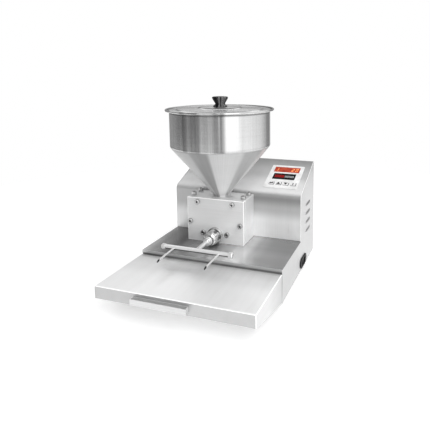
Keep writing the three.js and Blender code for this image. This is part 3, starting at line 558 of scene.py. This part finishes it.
def rectangle(a, b, width, height, radius):
    """Outline of a rectangle with round corners, centred on (a, b)."""
    w = width / 2
    h = height / 2
    corners = [(a - w, b - h), (a + w, b - h), (a + w, b + h), (a - w, b + h)]
    return rounded([(x, y, radius) for x, y in corners], closed=True)


def thicken(line, thickness):
    """Closed outline of a sheet whose outer face is the line and whose body lies to the line's right."""
    points = [Vector(p) for p in line]
    steps = [(after - before).normalized() for before, after in zip(points, points[1:])]
    inner = []
    for i, here in enumerate(points):
        normals = [Vector((v.y, -v.x)) for v in steps[max(i - 1, 0):i + 1]]
        normal = sum(normals, Vector((0, 0))).normalized()
        inner.append(here + normal * thickness / max(0.3, normal.dot(normals[0])))
    return [tuple(p) for p in points + inner[::-1]]


def soften(bm, width, segments=2, chosen=None, limit=30):
    """Rounds the edges sharper than limit degrees, or the chosen ones among them."""
    edges = []
    for edge in bm.edges:
        if len(edge.link_faces) == 2 and edge.calc_face_angle() > math.radians(limit):
            if chosen is None or chosen(edge):
                edges.append(edge)
    bmesh.ops.bevel(
        bm, geom=edges, offset=width * MM, segments=segments, profile=0.5, affect="EDGES", clamp_overlap=True
    )
    return bm


def merge(*parts):
    """One bmesh holding several closed bodies."""
    whole = bmesh.new()
    for part in parts:
        mesh = bpy.data.meshes.new("part")
        part.to_mesh(mesh)
        whole.from_mesh(mesh)
        bpy.data.meshes.remove(mesh)
        part.free()
    return whole


def to_object(name, bm):
    mesh = bpy.data.meshes.new(name)
    bm.to_mesh(mesh)
    bm.free()
    obj = bpy.data.objects.new(name, mesh)
    bpy.context.scene.collection.objects.link(obj)
    return obj


def carve(bm, *tools):
    """Cuts the tools out of a closed body."""
    target = to_object("target", bm)
    cutters = [to_object("cutter", tool) for tool in tools]
    for cutter in cutters:
        modifier = target.modifiers.new("cut", "BOOLEAN")
        modifier.object = cutter
        modifier.operation = "DIFFERENCE"
        modifier.solver = "EXACT"
    evaluated = target.evaluated_get(bpy.context.evaluated_depsgraph_get())
    result = bmesh.new()
    result.from_mesh(evaluated.to_mesh())
    evaluated.to_mesh_clear()
    for obj in (target, *cutters):
        bpy.data.objects.remove(obj)
    return result


def from_cad(node):
    """The CAD node's solid with its split corners joined and its flat faces merged."""
    bm = bmesh.new()
    bm.from_mesh(frame["nodes"][node].data)
    bmesh.ops.remove_doubles(bm, verts=bm.verts, dist=0.002 * MM)
    bmesh.ops.dissolve_limit(bm, angle_limit=math.radians(1), verts=bm.verts, edges=bm.edges)
    return bm


def piece(name, bm, material, body, stands_for=(), sharp=32):
    """Makes the finished piece: smooth shading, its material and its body."""
    obj = to_object(name, bm)
    obj.data.shade_smooth()
    obj.data.set_sharp_from_angle(angle=math.radians(sharp))
    normals = obj.modifiers.new("normals", "WEIGHTED_NORMAL")
    normals.keep_sharp = True
    obj.data.materials.append(MATERIALS[material])
    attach(obj, body)
    if stands_for:
        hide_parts(*stands_for)
    return obj


def stand_in(node, bm, material, sharp=32):
    """A finished piece for one CAD node."""
    return piece(node + "_finished", bm, material, BODY_OF[node], (node,), sharp)


def refined(node, material, width=0.3, segments=2):
    """The CAD solid with its edges rounded, as the finished piece."""
    return stand_in(node, soften(from_cad(node), width, segments), material)


def outer_edges(node):
    """A test for the edges along the box of a CAD node."""
    low, high = box(node)
    near = 0.05

    def test(edge):
        count = 0
        for axis in (X, Y, Z):
            for limit in (low[axis], high[axis]):
                if all(abs(v.co[axis] / MM - limit) < near for v in edge.verts):
                    count += 1
        return count >= 2

    return test


def eased(node, material, width, sharp=32):
    """The CAD solid with only the edges of its box rounded, as the finished piece."""
    return stand_in(node, soften(from_cad(node), width, 4, outer_edges(node)), material, sharp)


def recoat(obj, material, chosen, place=IN_MM):
    """Gives another material to the faces chosen by their centre, in that place, and normal."""
    slot = len(obj.data.materials)
    obj.data.materials.append(MATERIALS[material])
    inwards = place.inverted()
    for face in obj.data.polygons:
        if chosen(inwards @ face.center, face.normal):
            face.material_index = slot


def on_bend(at, normal):
    """Whether a face lies on a rounded bend that shows at the front or on top, where a highlight is painted.
    """
    return max(abs(v) for v in normal) < 0.99 and (normal.y < -0.1 or normal.z > 0.1)


# ---------- body of the machine ----------
def add_base():
    for node in ("bottom_plate", "front_bulkhead", "tray_guide_left", "tray_guide_right"):
        refined(node, "inner", 0.25, 1)
    for end in ("front", "rear"):
        for side in ("left", "right"):
            add_foot(f"foot_{end}_{side}")


def add_foot(node):
    low, high = box(node)
    radius = (high.x - low.x) / 2
    profile = [
        (0, 0.5, 0), (4.5, 0.5, 0.3), (4.5, 0, 0.3), (8, 0, 0.6),
        (radius, high.z - 0.6, 0.4), (radius, high.z, 0.3), (0, high.z, 0),
    ]
    centre = middle(node)
    stand_in(node, lathe(rounded(profile, 3), about_z(centre.x, centre.y), 48), "rubber")


def housing_line(bottom, back, bend=14, steps=20):
    """Outer line of the housing in (y, z): up the front, round the bend and up the slope to the back."""
    high = box("side_panel_right")[1]
    top = high.z - (high.y - HOUSING_FRONT) * math.tan(SLOPE)
    end = top + (back - HOUSING_FRONT) * math.tan(SLOPE)
    return rounded([(HOUSING_FRONT, bottom, 0), (HOUSING_FRONT, top, bend), (back, end, 0)], steps)


def add_housing():
    low, high = box("housing_cover")
    cover = prism(thicken(housing_line(low.z, high.y), SHEET), low.x, high.x, across())
    shaft = about_y(middle("drive_gear").x, middle("drive_motor").z, HOUSING_FRONT)
    window = prism(rectangle(0, 0, 84, 90, 1), -10, 10, panel_place())
    cover = carve(cover, rod(14, -6, 6, shaft, 48), window)
    stand_in("housing_cover", soften(cover, 0.25, 1, limit=60), "housing", 40)
    refined("back_panel", "side", 0.25, 1)
    refined("mains_inlet", "black")


LOUVRE_HEIGHTS = (89, 113, 137, 161)
LOUVRE_FROM_FRONT = 51  # behind the housing's front
LOUVRE_LENGTH = 48
LOUVRE_RISE = 3


def louvre(sign, middle_y, z):
    """A pressed hood, flush at its top and open along its foot."""
    columns = 24
    rows = 10
    bm = bmesh.new()
    skins = []
    for depth in (0, 1):
        grid = []
        for i in range(columns + 1):
            u = 2 * i / columns - 1
            y = middle_y + u * LOUVRE_LENGTH / 2
            swell = LOUVRE_RISE * (1 - abs(u) ** 5) ** 0.6
            column = []
            for j in range(rows + 1):
                v = j / rows
                x = SIDE - 0.2 + swell * math.sin(v * math.pi / 2) ** 1.3 - depth
                column.append(bm.verts.new((sign * x, y, z + 4.6 - 6.2 * v)))
            grid.append(column)
        skins.append(grid)
    outer, inner = skins
    for grid in skins:
        for i in range(columns):
            for j in range(rows):
                bm.faces.new((grid[i][j], grid[i + 1][j], grid[i + 1][j + 1], grid[i][j + 1]))
    rim = [(i, 0) for i in range(columns)] + [(columns, j) for j in range(rows)]
    rim += [(i, rows) for i in range(columns, 0, -1)] + [(0, j) for j in range(rows, 0, -1)]
    for (i, j), (m, n) in zip(rim, rim[1:] + rim[:1]):
        bm.faces.new((outer[i][j], outer[m][n], inner[m][n], inner[i][j]))
    bmesh.ops.recalc_face_normals(bm, faces=bm.faces)
    bm.transform(IN_MM)
    return bm


def add_side_panel(node, sign):
    low, high = box(node)
    ledge = DECK_TOP - SHEET - GAP
    outline = [(low.y, low.z), (low.y, ledge), *housing_line(ledge, high.y), (high.y, low.z)]
    inner, outer = sorted((sign * SIDE, sign * (SIDE - SHEET)))
    louvre_y = HOUSING_FRONT + LOUVRE_FROM_FRONT + LOUVRE_LENGTH / 2
    slot = rectangle(0, 0, LOUVRE_LENGTH - 1, 4, 1.5)
    tools = [prism(slot, -5, 5, across(sign * SIDE, louvre_y, z - 1)) for z in LOUVRE_HEIGHTS]
    if sign > 0:
        switch = middle("switch_body")
        tools.append(prism(rectangle(0, 0, 41, 21, 1), -5, 5, across(SIDE, switch.y, switch.z)))
    panel = soften(carve(prism(outline, inner, outer, across()), *tools), 0.5, 2, limit=60)
    hoods = [louvre(sign, louvre_y, z) for z in LOUVRE_HEIGHTS]
    finished = stand_in(node, merge(panel, *hoods), "side", 40)
    # A painted highlight on the panel's edges above the deck.
    recoat(finished, "edge", lambda at, normal: abs(normal.x) < 0.8 and at.z > DECK_TOP)
    # A painted shade on the louvre hoods.
    recoat(finished, "hood", lambda at, normal: abs(at.x) > SIDE + 0.4)


def add_deck():
    front = box("deck_plate")[0].y
    # A painted dark line: the lip's front face darkens towards its foot.
    recoat(eased("deck_plate", "deck", 1.1), "lip", lambda at, normal: at.y < front + 1.2)


def add_switch():
    for node in ("switch_body", "switch_rocker"):
        refined(node, "switch", 0.5, 3)


# ---------- control panel ----------
def panel_place():
    """The membrane's place: x across, y up the slope, z out of it, with its origin on the membrane's face."""
    turn = Matrix.Rotation(SLOPE, 4, "X")
    return about_z(*middle("control_membrane")) @ turn @ Matrix.Translation((0, 0, 0.6))


def print_on(name, outlines, material, body, lift=0.0, thickness=0.12):
    """Thin raised print on the control panel: each outline is in the panel's own place."""
    shapes = [prism(outline, lift, lift + thickness, panel_place()) for outline in outlines]
    return piece(name, merge(*shapes), material, body)


def in_panel(node):
    """A CAD node's centre in the panel's own place."""
    return panel_place().inverted() @ (middle(node) * MM)


LIT_BARS = {"0": "abcdef", "1": "bc", "2": "abged"}


def digit(text, a, b, width, height):
    """Outlines of one seven-segment digit, slanted a little, with its foot's left corner at (a, b)."""
    half = height / 2
    bar = 2.0
    spans = {
        "a": (0, height - bar, width, height),
        "g": (0, half - bar / 2, width, half + bar / 2),
        "d": (0, 0, width, bar),
        "f": (0, half, bar, height),
        "e": (0, 0, bar, half),
        "b": (width - bar, half, width, height),
        "c": (width - bar, 0, width, half),
    }
    gap = 0.12 * bar
    slant = 0.12
    shapes = []
    for letter in LIT_BARS[text]:
        x0, y0, x1, y1 = spans[letter]
        corners = [(x0 + gap, y0 + gap), (x1 - gap, y0 + gap), (x1 - gap, y1 - gap), (x0 + gap, y1 - gap)]
        shapes.append([(a + x + slant * y, b + y) for x, y in corners])
    return shapes


def add_control_panel():
    refined("control_membrane", "film", 0.25)
    refined("display_window", "window", 0.15)
    glass = in_panel("display_window")
    numbers = digit("2", glass.x + 12.5, glass.y - 7, 6.5, 14)
    numbers += digit("0", glass.x + 23.5, glass.y - 7, 6.5, 14)
    numbers += digit("1", glass.x - 31, glass.y - 6, 5.5, 12)
    print_on("display_digits", numbers, "digits", "base", glass.z + 0.56)

    x = glass.x - 0.6
    y = glass.y - 31.6
    red = [rectangle(x - 24.5 + 4.5 * i, y + 0.5, 3.7, 11, 0.6) for i in range(6)]
    white = [rectangle(x + 3.2 + 3.7 * i, y, 2.2, 8.5, 0.5) for i in range(7)]
    print_on("level_band", [rectangle(x, y, 62, 26.5, 1.5)], "ink", "base")
    print_on("level_bars_low", red, "red_ink", "base", 0.12)
    print_on("level_bars_high", white, "pale_ink", "base", 0.12)

    arrow = [(-5.4, -1.0), (-1.0, 3.2), (-1.0, 1.0), (3.0, 1.0), (3.0, 4.2), (5.4, 4.2)]
    arrow += [(5.4, -2.4), (-1.0, -2.4), (-1.0, -4.8)]
    up = [(-5.6, -4.0), (5.6, -4.0), (0, 4.6)]
    down = [(-5.6, 4.0), (0, -4.6), (5.6, 4.0)]
    bar = rectangle(0, 0, 2.8, 8.4, 0.6)
    marks = {"key_enter": arrow, "key_up": up, "key_down": down, "key_set": bar}
    # A painted shadow of each key: a grey L printed along its right and lower sides.
    shadow = [(-6.4, -6.2), (7.4, -6.2), (7.4, 5.2), (9.1, 4.0), (9.1, -7.9), (-5.2, -7.9)]
    for node, mark in marks.items():
        refined(node, "key", 0.3, 3)
        key = in_panel(node)
        ink = "shade_ink" if node == "key_set" else "ink"
        shape = [(key.x + a, key.y + b) for a, b in mark]
        print_on(node + "_mark", [shape], ink, BODY_OF[node], key.z + 0.86, 0.1)
        shape = [(key.x + a, key.y + b) for a, b in shadow]
        print_on(node + "_shade", [shape], "shade_ink", "base")
    refined("control_board", "board", 0.2, 1)


# ---------- pump ----------
def add_pump():
    eased("pump_body", "block", 1.3, 40)
    # A painted highlight on the cover's rounded bends.
    recoat(eased("pump_cover", "block", 1.3, 40), "edge", on_bend)
    refined("cover_gasket", "gasket", 0.15, 1)
    refined("hopper_seal", "rubber", 0.2)
    for node in ("drive_gear", "driven_gear"):
        refined(node, "bright", 0.2, 1)
    refined("pump_pedestal", "casting", 0.5)
    for i in range(1, 7):
        add_bolt(f"cover_bolt_{i}", Y, 6.6, 3)
    for i in range(1, 5):
        add_bolt(f"clamp_bolt_{i}", Z, 8, 4)


def add_bolt(node, axis, height, shank):
    """A socket-head bolt with its knurled head, of that height, at the front or on top."""
    low, high = box(node)
    centre = middle(node)
    head = (high.x - low.x) / 2
    length = high[axis] - low[axis] - height
    if axis == Z:
        place = about_z(centre.x, centre.y, high.z - height)
    else:
        place = about_y(centre.x, centre.z, low.y + height) @ Matrix.Rotation(math.pi, 4, "X")
    knurl = ridged(30, 0.25)
    socket = head * 0.42
    profile = [
        (0, -length), (shank - 0.6, -length), (shank, -length + 0.6), (shank, -0.4), (shank + 0.4, 0),
        (head - 0.4, 0), (head, 0.4, knurl), (head, height - 0.9, knurl), (head - 0.15, height - 0.5),
        (head - 0.7, height), (socket + 0.3, height, hexagon), (socket, height - 0.3, hexagon),
        (socket, height * 0.45, hexagon), (0, height * 0.38),
    ]

    def in_socket(at, normal):
        return math.hypot(at.x, at.y) < socket * 1.02 and 0 < at.z < height - 0.2

    # A painted shade in the socket: its faces take the dark bore material.
    recoat(stand_in(node, lathe(profile, place, 60), "bolt"), "bore", in_socket, place)


# ---------- drive ----------
def add_drive():
    refined("shaft_coupling", "casting", 0.4)
    refined("motor_bracket", "side")
    refined("gearbox", "casting", 1.5, 3)
    refined("power_supply", "side", 0.5)
    low, high = box("drive_motor")
    length = high.y - low.y
    radius = (high.x - low.x) / 2
    fins = ridged(32, 2.2)
    profile = [
        (0, 0), (radius - 3, 0), (radius - 2, 1), (radius - 2, 6), (radius, 8), (radius, 10),
        (radius, 12, fins), (radius, length - 16, fins), (radius, length - 14), (radius, length - 6),
        (radius - 1.2, length - 3), (radius - 4, length), (0, length),
    ]
    centre = middle("drive_motor")
    stand_in("drive_motor", lathe(profile, about_y(centre.x, centre.z, low.y), 192), "casting")


# ---------- outlet ----------
NOSE = box("union_nut")[0].y
SHOULDER = NOSE + 13  # inside the union nut, where it bears on the feed pipe's flange
OUTLET = about_y(middle("outlet_spigot").x, middle("outlet_spigot").z)


def add_spigot():
    face, mouth = (corner.y for corner in box("outlet_spigot"))
    spigot = [
        (7, face, 0),
        (15, face, 0.6),
        (15, face + 16.7, 0.5),
        (20.2, face + 16.7, 0.8),
        (20.2, face + 20.7, 0.4),
        (8.7, face + 20.7, 0.2),
        (8.7, mouth, 0.2),
        (7, mouth, 0.2),
    ]
    stand_in("outlet_spigot", lathe(rounded(spigot, 3, True), OUTLET, 96, True), "bright")


def add_union_nut():
    back = box("union_nut")[1].y
    slots = ridged(6, 1.6)
    nut = [
        (8.6, NOSE, 0.3),
        (12.8, NOSE, 0.8),
        (16.2, NOSE + 3.6, 2.5),
        (18.8, NOSE + 12, 3),
        (18.8, back - 7.4, 0.8),
        (17.6, back - 6.4, 0.5),
        (17.6, back - 5.2, 0.5),
        (19.9, back - 4.4, 0.7),
        (19.9, back, 0.6),
        (15.6, back, 0.4),
        (15.6, SHOULDER, 0.4),
        (8.6, SHOULDER, 0.3),
    ]
    line = [(r, d, slots) if 17.7 < r < 18.9 else (r, d) for r, d in rounded(nut, 4, True)]

    def hollow(at, normal):
        radius = math.hypot(at.x, at.y)
        in_slot = radius < 18.1 and NOSE + 9.5 < at.z < back - 7.5
        in_groove = radius < 18.6 and back - 6.9 < at.z < back - 4.7
        return radius > 15.8 and (in_slot or in_groove)

    # A painted shade in the spanner slots and the groove: their faces take the dark slot material.
    recoat(stand_in("union_nut", lathe(line, OUTLET, 144, True), "bright"), "slot", hollow, OUTLET)


def add_feed_pipe():
    high = box("feed_pipe")[1]
    collar = SHOULDER - 13.6
    pipe = [
        (3.4, TUBE.y, 0),
        (5, TUBE.y, 0),
        (5, collar - 13, 0.5),
        (9.8, collar - 12.8, 1.2),
        (9.8, collar - 9.2, 1.2),
        (7.4, collar - 8.8, 0.4),
        (7.4, collar - 6.8, 0.4),
        (10.9, collar - 6.6, 1.2),
        (10.9, collar - 3.2, 1.2),
        (8.2, collar - 2.8, 0.4),
        (8.2, SHOULDER + 0.4, 0.3),
        (14.5, SHOULDER + 0.4, 0.4),
        (14.5, high.y, 0.3),
        (3.4, high.y, 0.2),
    ]
    saddle = rod(5.3, -20, 20, about_x(TUBE.y, TUBE.z, TUBE.x))
    stand_in("feed_pipe", carve(lathe(rounded(pipe, 4, True), OUTLET, 96, True), saddle), "satin")


def add_manifold():
    low, high = box("manifold_tube")
    half = (high.x - low.x) / 2
    tube = [(3.6, -half, 0.2), (5, -half, 0.3), (5, half, 0.3), (3.6, half, 0.2)]
    body = lathe(rounded(tube, 2, True), about_x(TUBE.y, TUBE.z, TUBE.x), 96, True)
    port = rod(3.4, 2, 10, about_y(TUBE.x, TUBE.z, TUBE.y), 32)
    stand_in("manifold_tube", carve(body, port), "tube")
    for node, sign in (("end_cap_left", -1), ("end_cap_right", 1)):
        start, end = sorted(sign * (corner.x - TUBE.x) for corner in box(node))
        seat = end - 3.7
        knurl = ridged(26, 0.35)
        cap = [
            (0, seat, 0), (5.3, seat, 0.3), (5.3, start, 0.2), (6.1, start, 0.5),
            (6.4, start + 1.2, 0.3), (6.4, end - 1.6, 0.8), (5.2, end, 0.9), (0, end, 0),
        ]
        line = [(r, d, knurl) if r > 6.2 else (r, d) for r, d in rounded(cap, 4)]
        turn = Matrix.Rotation(sign * math.pi / 2, 4, "Y")
        stand_in(node, lathe(line, about_z(*TUBE) @ turn, 104), "satin")


NEEDLE_DROOP = math.radians(2)
NEEDLE_ROOT = 4.2  # in front of the tube's axis
NEEDLE_REACH = 73
NEEDLE_CUT = 10  # how far the slant runs back along the needle


def add_needle(node):
    """A thin tube whose tip is cut at a slant that faces up, with its cut and its bore painted dark as shade.
    """
    sides = 32
    outer, inner = 2.25, 1.8
    bm = bmesh.new()

    def ring(radius, slanted):
        verts = []
        for i in range(sides):
            angle = 2 * math.pi * i / sides
            z = radius * math.sin(angle)
            tip = NEEDLE_REACH + 1 - (z + 2.2) * NEEDLE_CUT / (2 * outer)
            y = -tip if slanted else -NEEDLE_ROOT
            verts.append(bm.verts.new((radius * math.cos(angle), y, z)))
        return verts

    loops = [ring(outer, False), ring(outer, True), ring(inner, True), ring(inner, False)]
    for number, (first, second) in enumerate(zip(loops, loops[1:] + loops[:1])):
        for i in range(sides):
            j = (i + 1) % sides
            face = bm.faces.new((first[i], first[j], second[j], second[i]))
            # The cut and the bore take the dark bore material, a painted shade.
            face.material_index = 1 if number in (1, 2) else 0  # the cut and the bore
    bmesh.ops.recalc_face_normals(bm, faces=bm.faces)
    bm.transform(about_z(middle(node).x, TUBE.y, TUBE.z) @ Matrix.Rotation(NEEDLE_DROOP, 4, "X"))
    stand_in(node, bm, "satin").data.materials.append(MATERIALS["bore"])


# ---------- hopper and lid ----------
HOPPER = about_z(PUMP_X, HOPPER_Y)


def add_hopper():
    low, high = box("hopper")
    wall = 1.2
    bead = 2.5
    rim = (high.x - low.x) / 2 - bead  # to the centre of the rolled edge
    bowl = 126
    bore = 19.2
    edge = high.z - 2 * bead
    outside = [
        (bore, low.z, 0),
        (20.9, low.z, 0.4),
        (20.9, 199, 3),
        (bowl, CONE_TOP, 12),
        (bowl, edge, 3),
        (rim, edge, 0),
    ]
    roll = []
    steps = 14
    for i in range(1, steps + 1):
        angle = -math.pi / 2 + 1.3 * math.pi * i / steps
        roll.append((rim + bead * math.cos(angle), edge + bead * (1 + math.sin(angle))))
    inside = [
        (rim - 2.6, edge + wall, 0.5),
        (bowl - wall, edge + wall, 2),
        (bowl - wall, CONE_TOP + 0.6, 11),
        (bore, 199.6, 2),
        (bore, low.z, 0),
    ]
    line = rounded(outside, 8) + roll + rounded(inside, 6)[:-1]
    stand_in("hopper", lathe(line, HOPPER, 256, True), "hopper")


def add_lid():
    skirt, top = (corner.z for corner in box("lid"))
    sheet = 1.1
    flat = top - 6.2  # the outer flange's top face
    profile = [
        (0, top, 0),
        (52.8, top, 3),
        (57.0, flat + 3.4, 3),
        (106.6, flat + 2.6, 3),
        (111.0, flat, 3),
        (129, flat, 0.5),
        (129, flat - sheet, 0.5),
        (123.1, flat - sheet, 0.6),
        (123.1, skirt, 0.4),
        (122, skirt, 0.4),
        (122, flat - sheet, 0.4),
        (110.2, flat - sheet, 2),
        (105.8, flat + 2.6 - sheet, 2),
        (56.2, flat + 3.4 - sheet, 2),
        (52.0, top - sheet, 2),
        (0, top - sheet, 0),
    ]
    stand_in("lid", lathe(rounded(profile), HOPPER, 256), "lid")


def add_knob():
    foot, head = (corner.z for corner in box("lid_knob"))
    grip = [
        (15.8, foot + 3.4, 0.5), (12.9, foot + 6.0, 1.2), (12.4, foot + 8.0, 1.5), (14.2, foot + 11.0, 1.9),
        (18.6, head - 7.0, 2.2), (20.2, head - 3.6, 1.9), (20.0, head - 1.8, 1.4), (18.4, head - 0.5, 0.6),
    ]
    profile = [(0, foot), (17.0, foot), (18.0, foot + 0.8), (17.8, foot + 2.0)]
    profile += [(radius, distance, fluted(12, depth)) for radius, distance, depth in grip]
    profile += [(15.5, head), (9.0, head - 0.1), (8.0, head - 0.8), (0, head - 0.8)]
    stand_in("lid_knob", lathe(profile, HOPPER, 192), "knob", 50)


# ---------- tray ----------
BROAD_FACE = 5000 * MM * MM


def add_tray():
    outer = outer_edges("tray")

    def folded(edge):
        """Whether an edge is an outer bend between two broad faces, and not a cut edge."""
        return outer(edge) and min(face.calc_area() for face in edge.link_faces) > BROAD_FACE

    tray = from_cad("tray")
    bmesh.ops.remove_doubles(tray, verts=tray.verts, dist=0.3 * MM)
    # A painted highlight on the tray's outer bends.
    recoat(stand_in("tray", soften(tray, 1.5, 4, folded), "tray"), "edge", on_bend)
    refined("tray_handle", "handle", 0.5, 3)
    for side in ("left", "right"):
        refined(f"tray_runner_{side}", "side", 0.5)


# ---------- stage ----------
FLOOR_GLOW = 0.36


def add_floor():
    """A round pale floor, lit a little from below like a studio's light table."""
    bm = bmesh.new()
    bmesh.ops.create_circle(bm, cap_ends=True, radius=1400 * MM, segments=128)
    floor = to_object("floor", bm)
    shader = new_material("floor_paint")
    tone = shader.shade(shader.noise(shader.place(), 3.0), WHITE, 0.83, 0.86)
    shader.set(Roughness=0.9, Specular_IOR_Level=0.1, Emission_Color=WHITE, Emission_Strength=FLOOR_GLOW)
    floor.data.materials.append(shader.set(Base_Color=tone))


# Brightness of the studio by compass angle, in degrees from the front towards the right:
# near the horizon and below, and higher up the walls.
LOW_WALLS = [
    (-180, 0.60), (-168, 0.50), (-150, 0.45), (-138, 0.34), (-92, 0.28), (-84, 0.18), (-66, 0.18),
    (-58, 0.36), (-50, 0.24), (-36, 0.24), (-27, 0.44), (-14, 0.32), (2, 0.42), (22, 0.40), (32, 1.40),
    (64, 1.40), (72, 0.94), (100, 0.82), (135, 0.74), (158, 0.40), (172, 0.36), (180, 0.60),
]
HIGH_WALLS = [
    (-180, 1.25), (-120, 1.20), (-100, 0.50), (-50, 0.30), (-32, 0.35), (-24, 1.15), (-14, 1.40),
    (-4, 1.30), (20, 1.10), (40, 1.30), (80, 1.10), (120, 1.10), (180, 1.25),
]
CEILING = 0.66
UPPER_WALL_STARTS = (0.36, 0.46)  # as the height of a direction, from 0 at the horizon to 1 overhead
CEILING_STARTS = (0.60, 0.80)


def add_world():
    """A white studio with pale walls, darker at the front left. The camera sees plain white instead."""
    world = bpy.data.worlds.new("studio")
    bpy.context.scene.world = world
    shader = Shader(world)
    shader.tree.nodes.clear()
    x, y, height = shader.split(shader.add("TexCoord", {}).outputs["Generated"])
    turn = shader.turn(x, y)

    def above(band):
        return shader.spread(height, 0.0, 1.0, *band, interpolation_type="SMOOTHSTEP")

    low, high = (shader.ramp(turn, stops, math.radians(1)) for stops in (LOW_WALLS, HIGH_WALLS))
    room = shader.mix(above(UPPER_WALL_STARTS), low, high)
    room = shader.mix(above(CEILING_STARTS), room, grey(CEILING))
    light = shader.add("Background", {"Color": room})
    white = shader.add("Background", {"Color": WHITE})
    camera_ray = shader.add("LightPath", {}).outputs["Is Camera Ray"]
    both = shader.add("MixShader", {0: camera_ray, 1: light.outputs[0], 2: white.outputs[0]})
    shader.add("OutputWorld", {"Surface": both.outputs[0]})


def add_lights():
    """One big soft key from the upper right front."""
    key = bpy.data.lights.new("key", "SUN")
    key.energy = 1.0
    key.angle = math.radians(40)
    holder = bpy.data.objects.new("key", key)
    azimuth, height = math.radians(48), math.radians(48)
    level = math.cos(height)
    towards = Vector((math.sin(azimuth) * level, -math.cos(azimuth) * level, math.sin(height)))
    holder.rotation_mode = "QUATERNION"
    holder.rotation_quaternion = towards.to_track_quat("Z", "Y")
    bpy.context.scene.collection.objects.link(holder)


# The photo's camera, as fitted to the machine's straight edges and the hopper's ellipses.
CAMERA_AT = Vector((426.5, -905.9, 508.8))
CAMERA_DOWN = math.radians(7.71)
CAMERA_LEFT = math.radians(17.57)
FOCAL_LENGTH = 35.38  # on a sensor 36 mm wide
CAMERA_SHIFT = (-0.1395, -0.1977)


def add_camera():
    camera = bpy.data.cameras.new("camera")
    camera.sensor_width = 36
    camera.lens = FOCAL_LENGTH
    camera.shift_x, camera.shift_y = CAMERA_SHIFT
    camera.clip_start = 0.01
    camera.clip_end = 300
    holder = bpy.data.objects.new("camera", camera)
    holder.location = CAMERA_AT * MM
    holder.rotation_euler = (math.pi / 2 - CAMERA_DOWN, 0, CAMERA_LEFT)
    bpy.context.scene.collection.objects.link(holder)
    bpy.context.scene.camera = holder


add_base()
add_housing()
add_side_panel("side_panel_left", -1)
add_side_panel("side_panel_right", 1)
add_deck()
add_switch()
add_control_panel()
add_pump()
add_drive()
add_spigot()
add_union_nut()
add_feed_pipe()
add_manifold()
add_needle("needle_left")
add_needle("needle_right")
add_hopper()
add_lid()
add_knob()
add_tray()
add_floor()
add_world()
add_lights()
add_camera()
bpy.context.scene.view_settings.view_transform = "Standard"
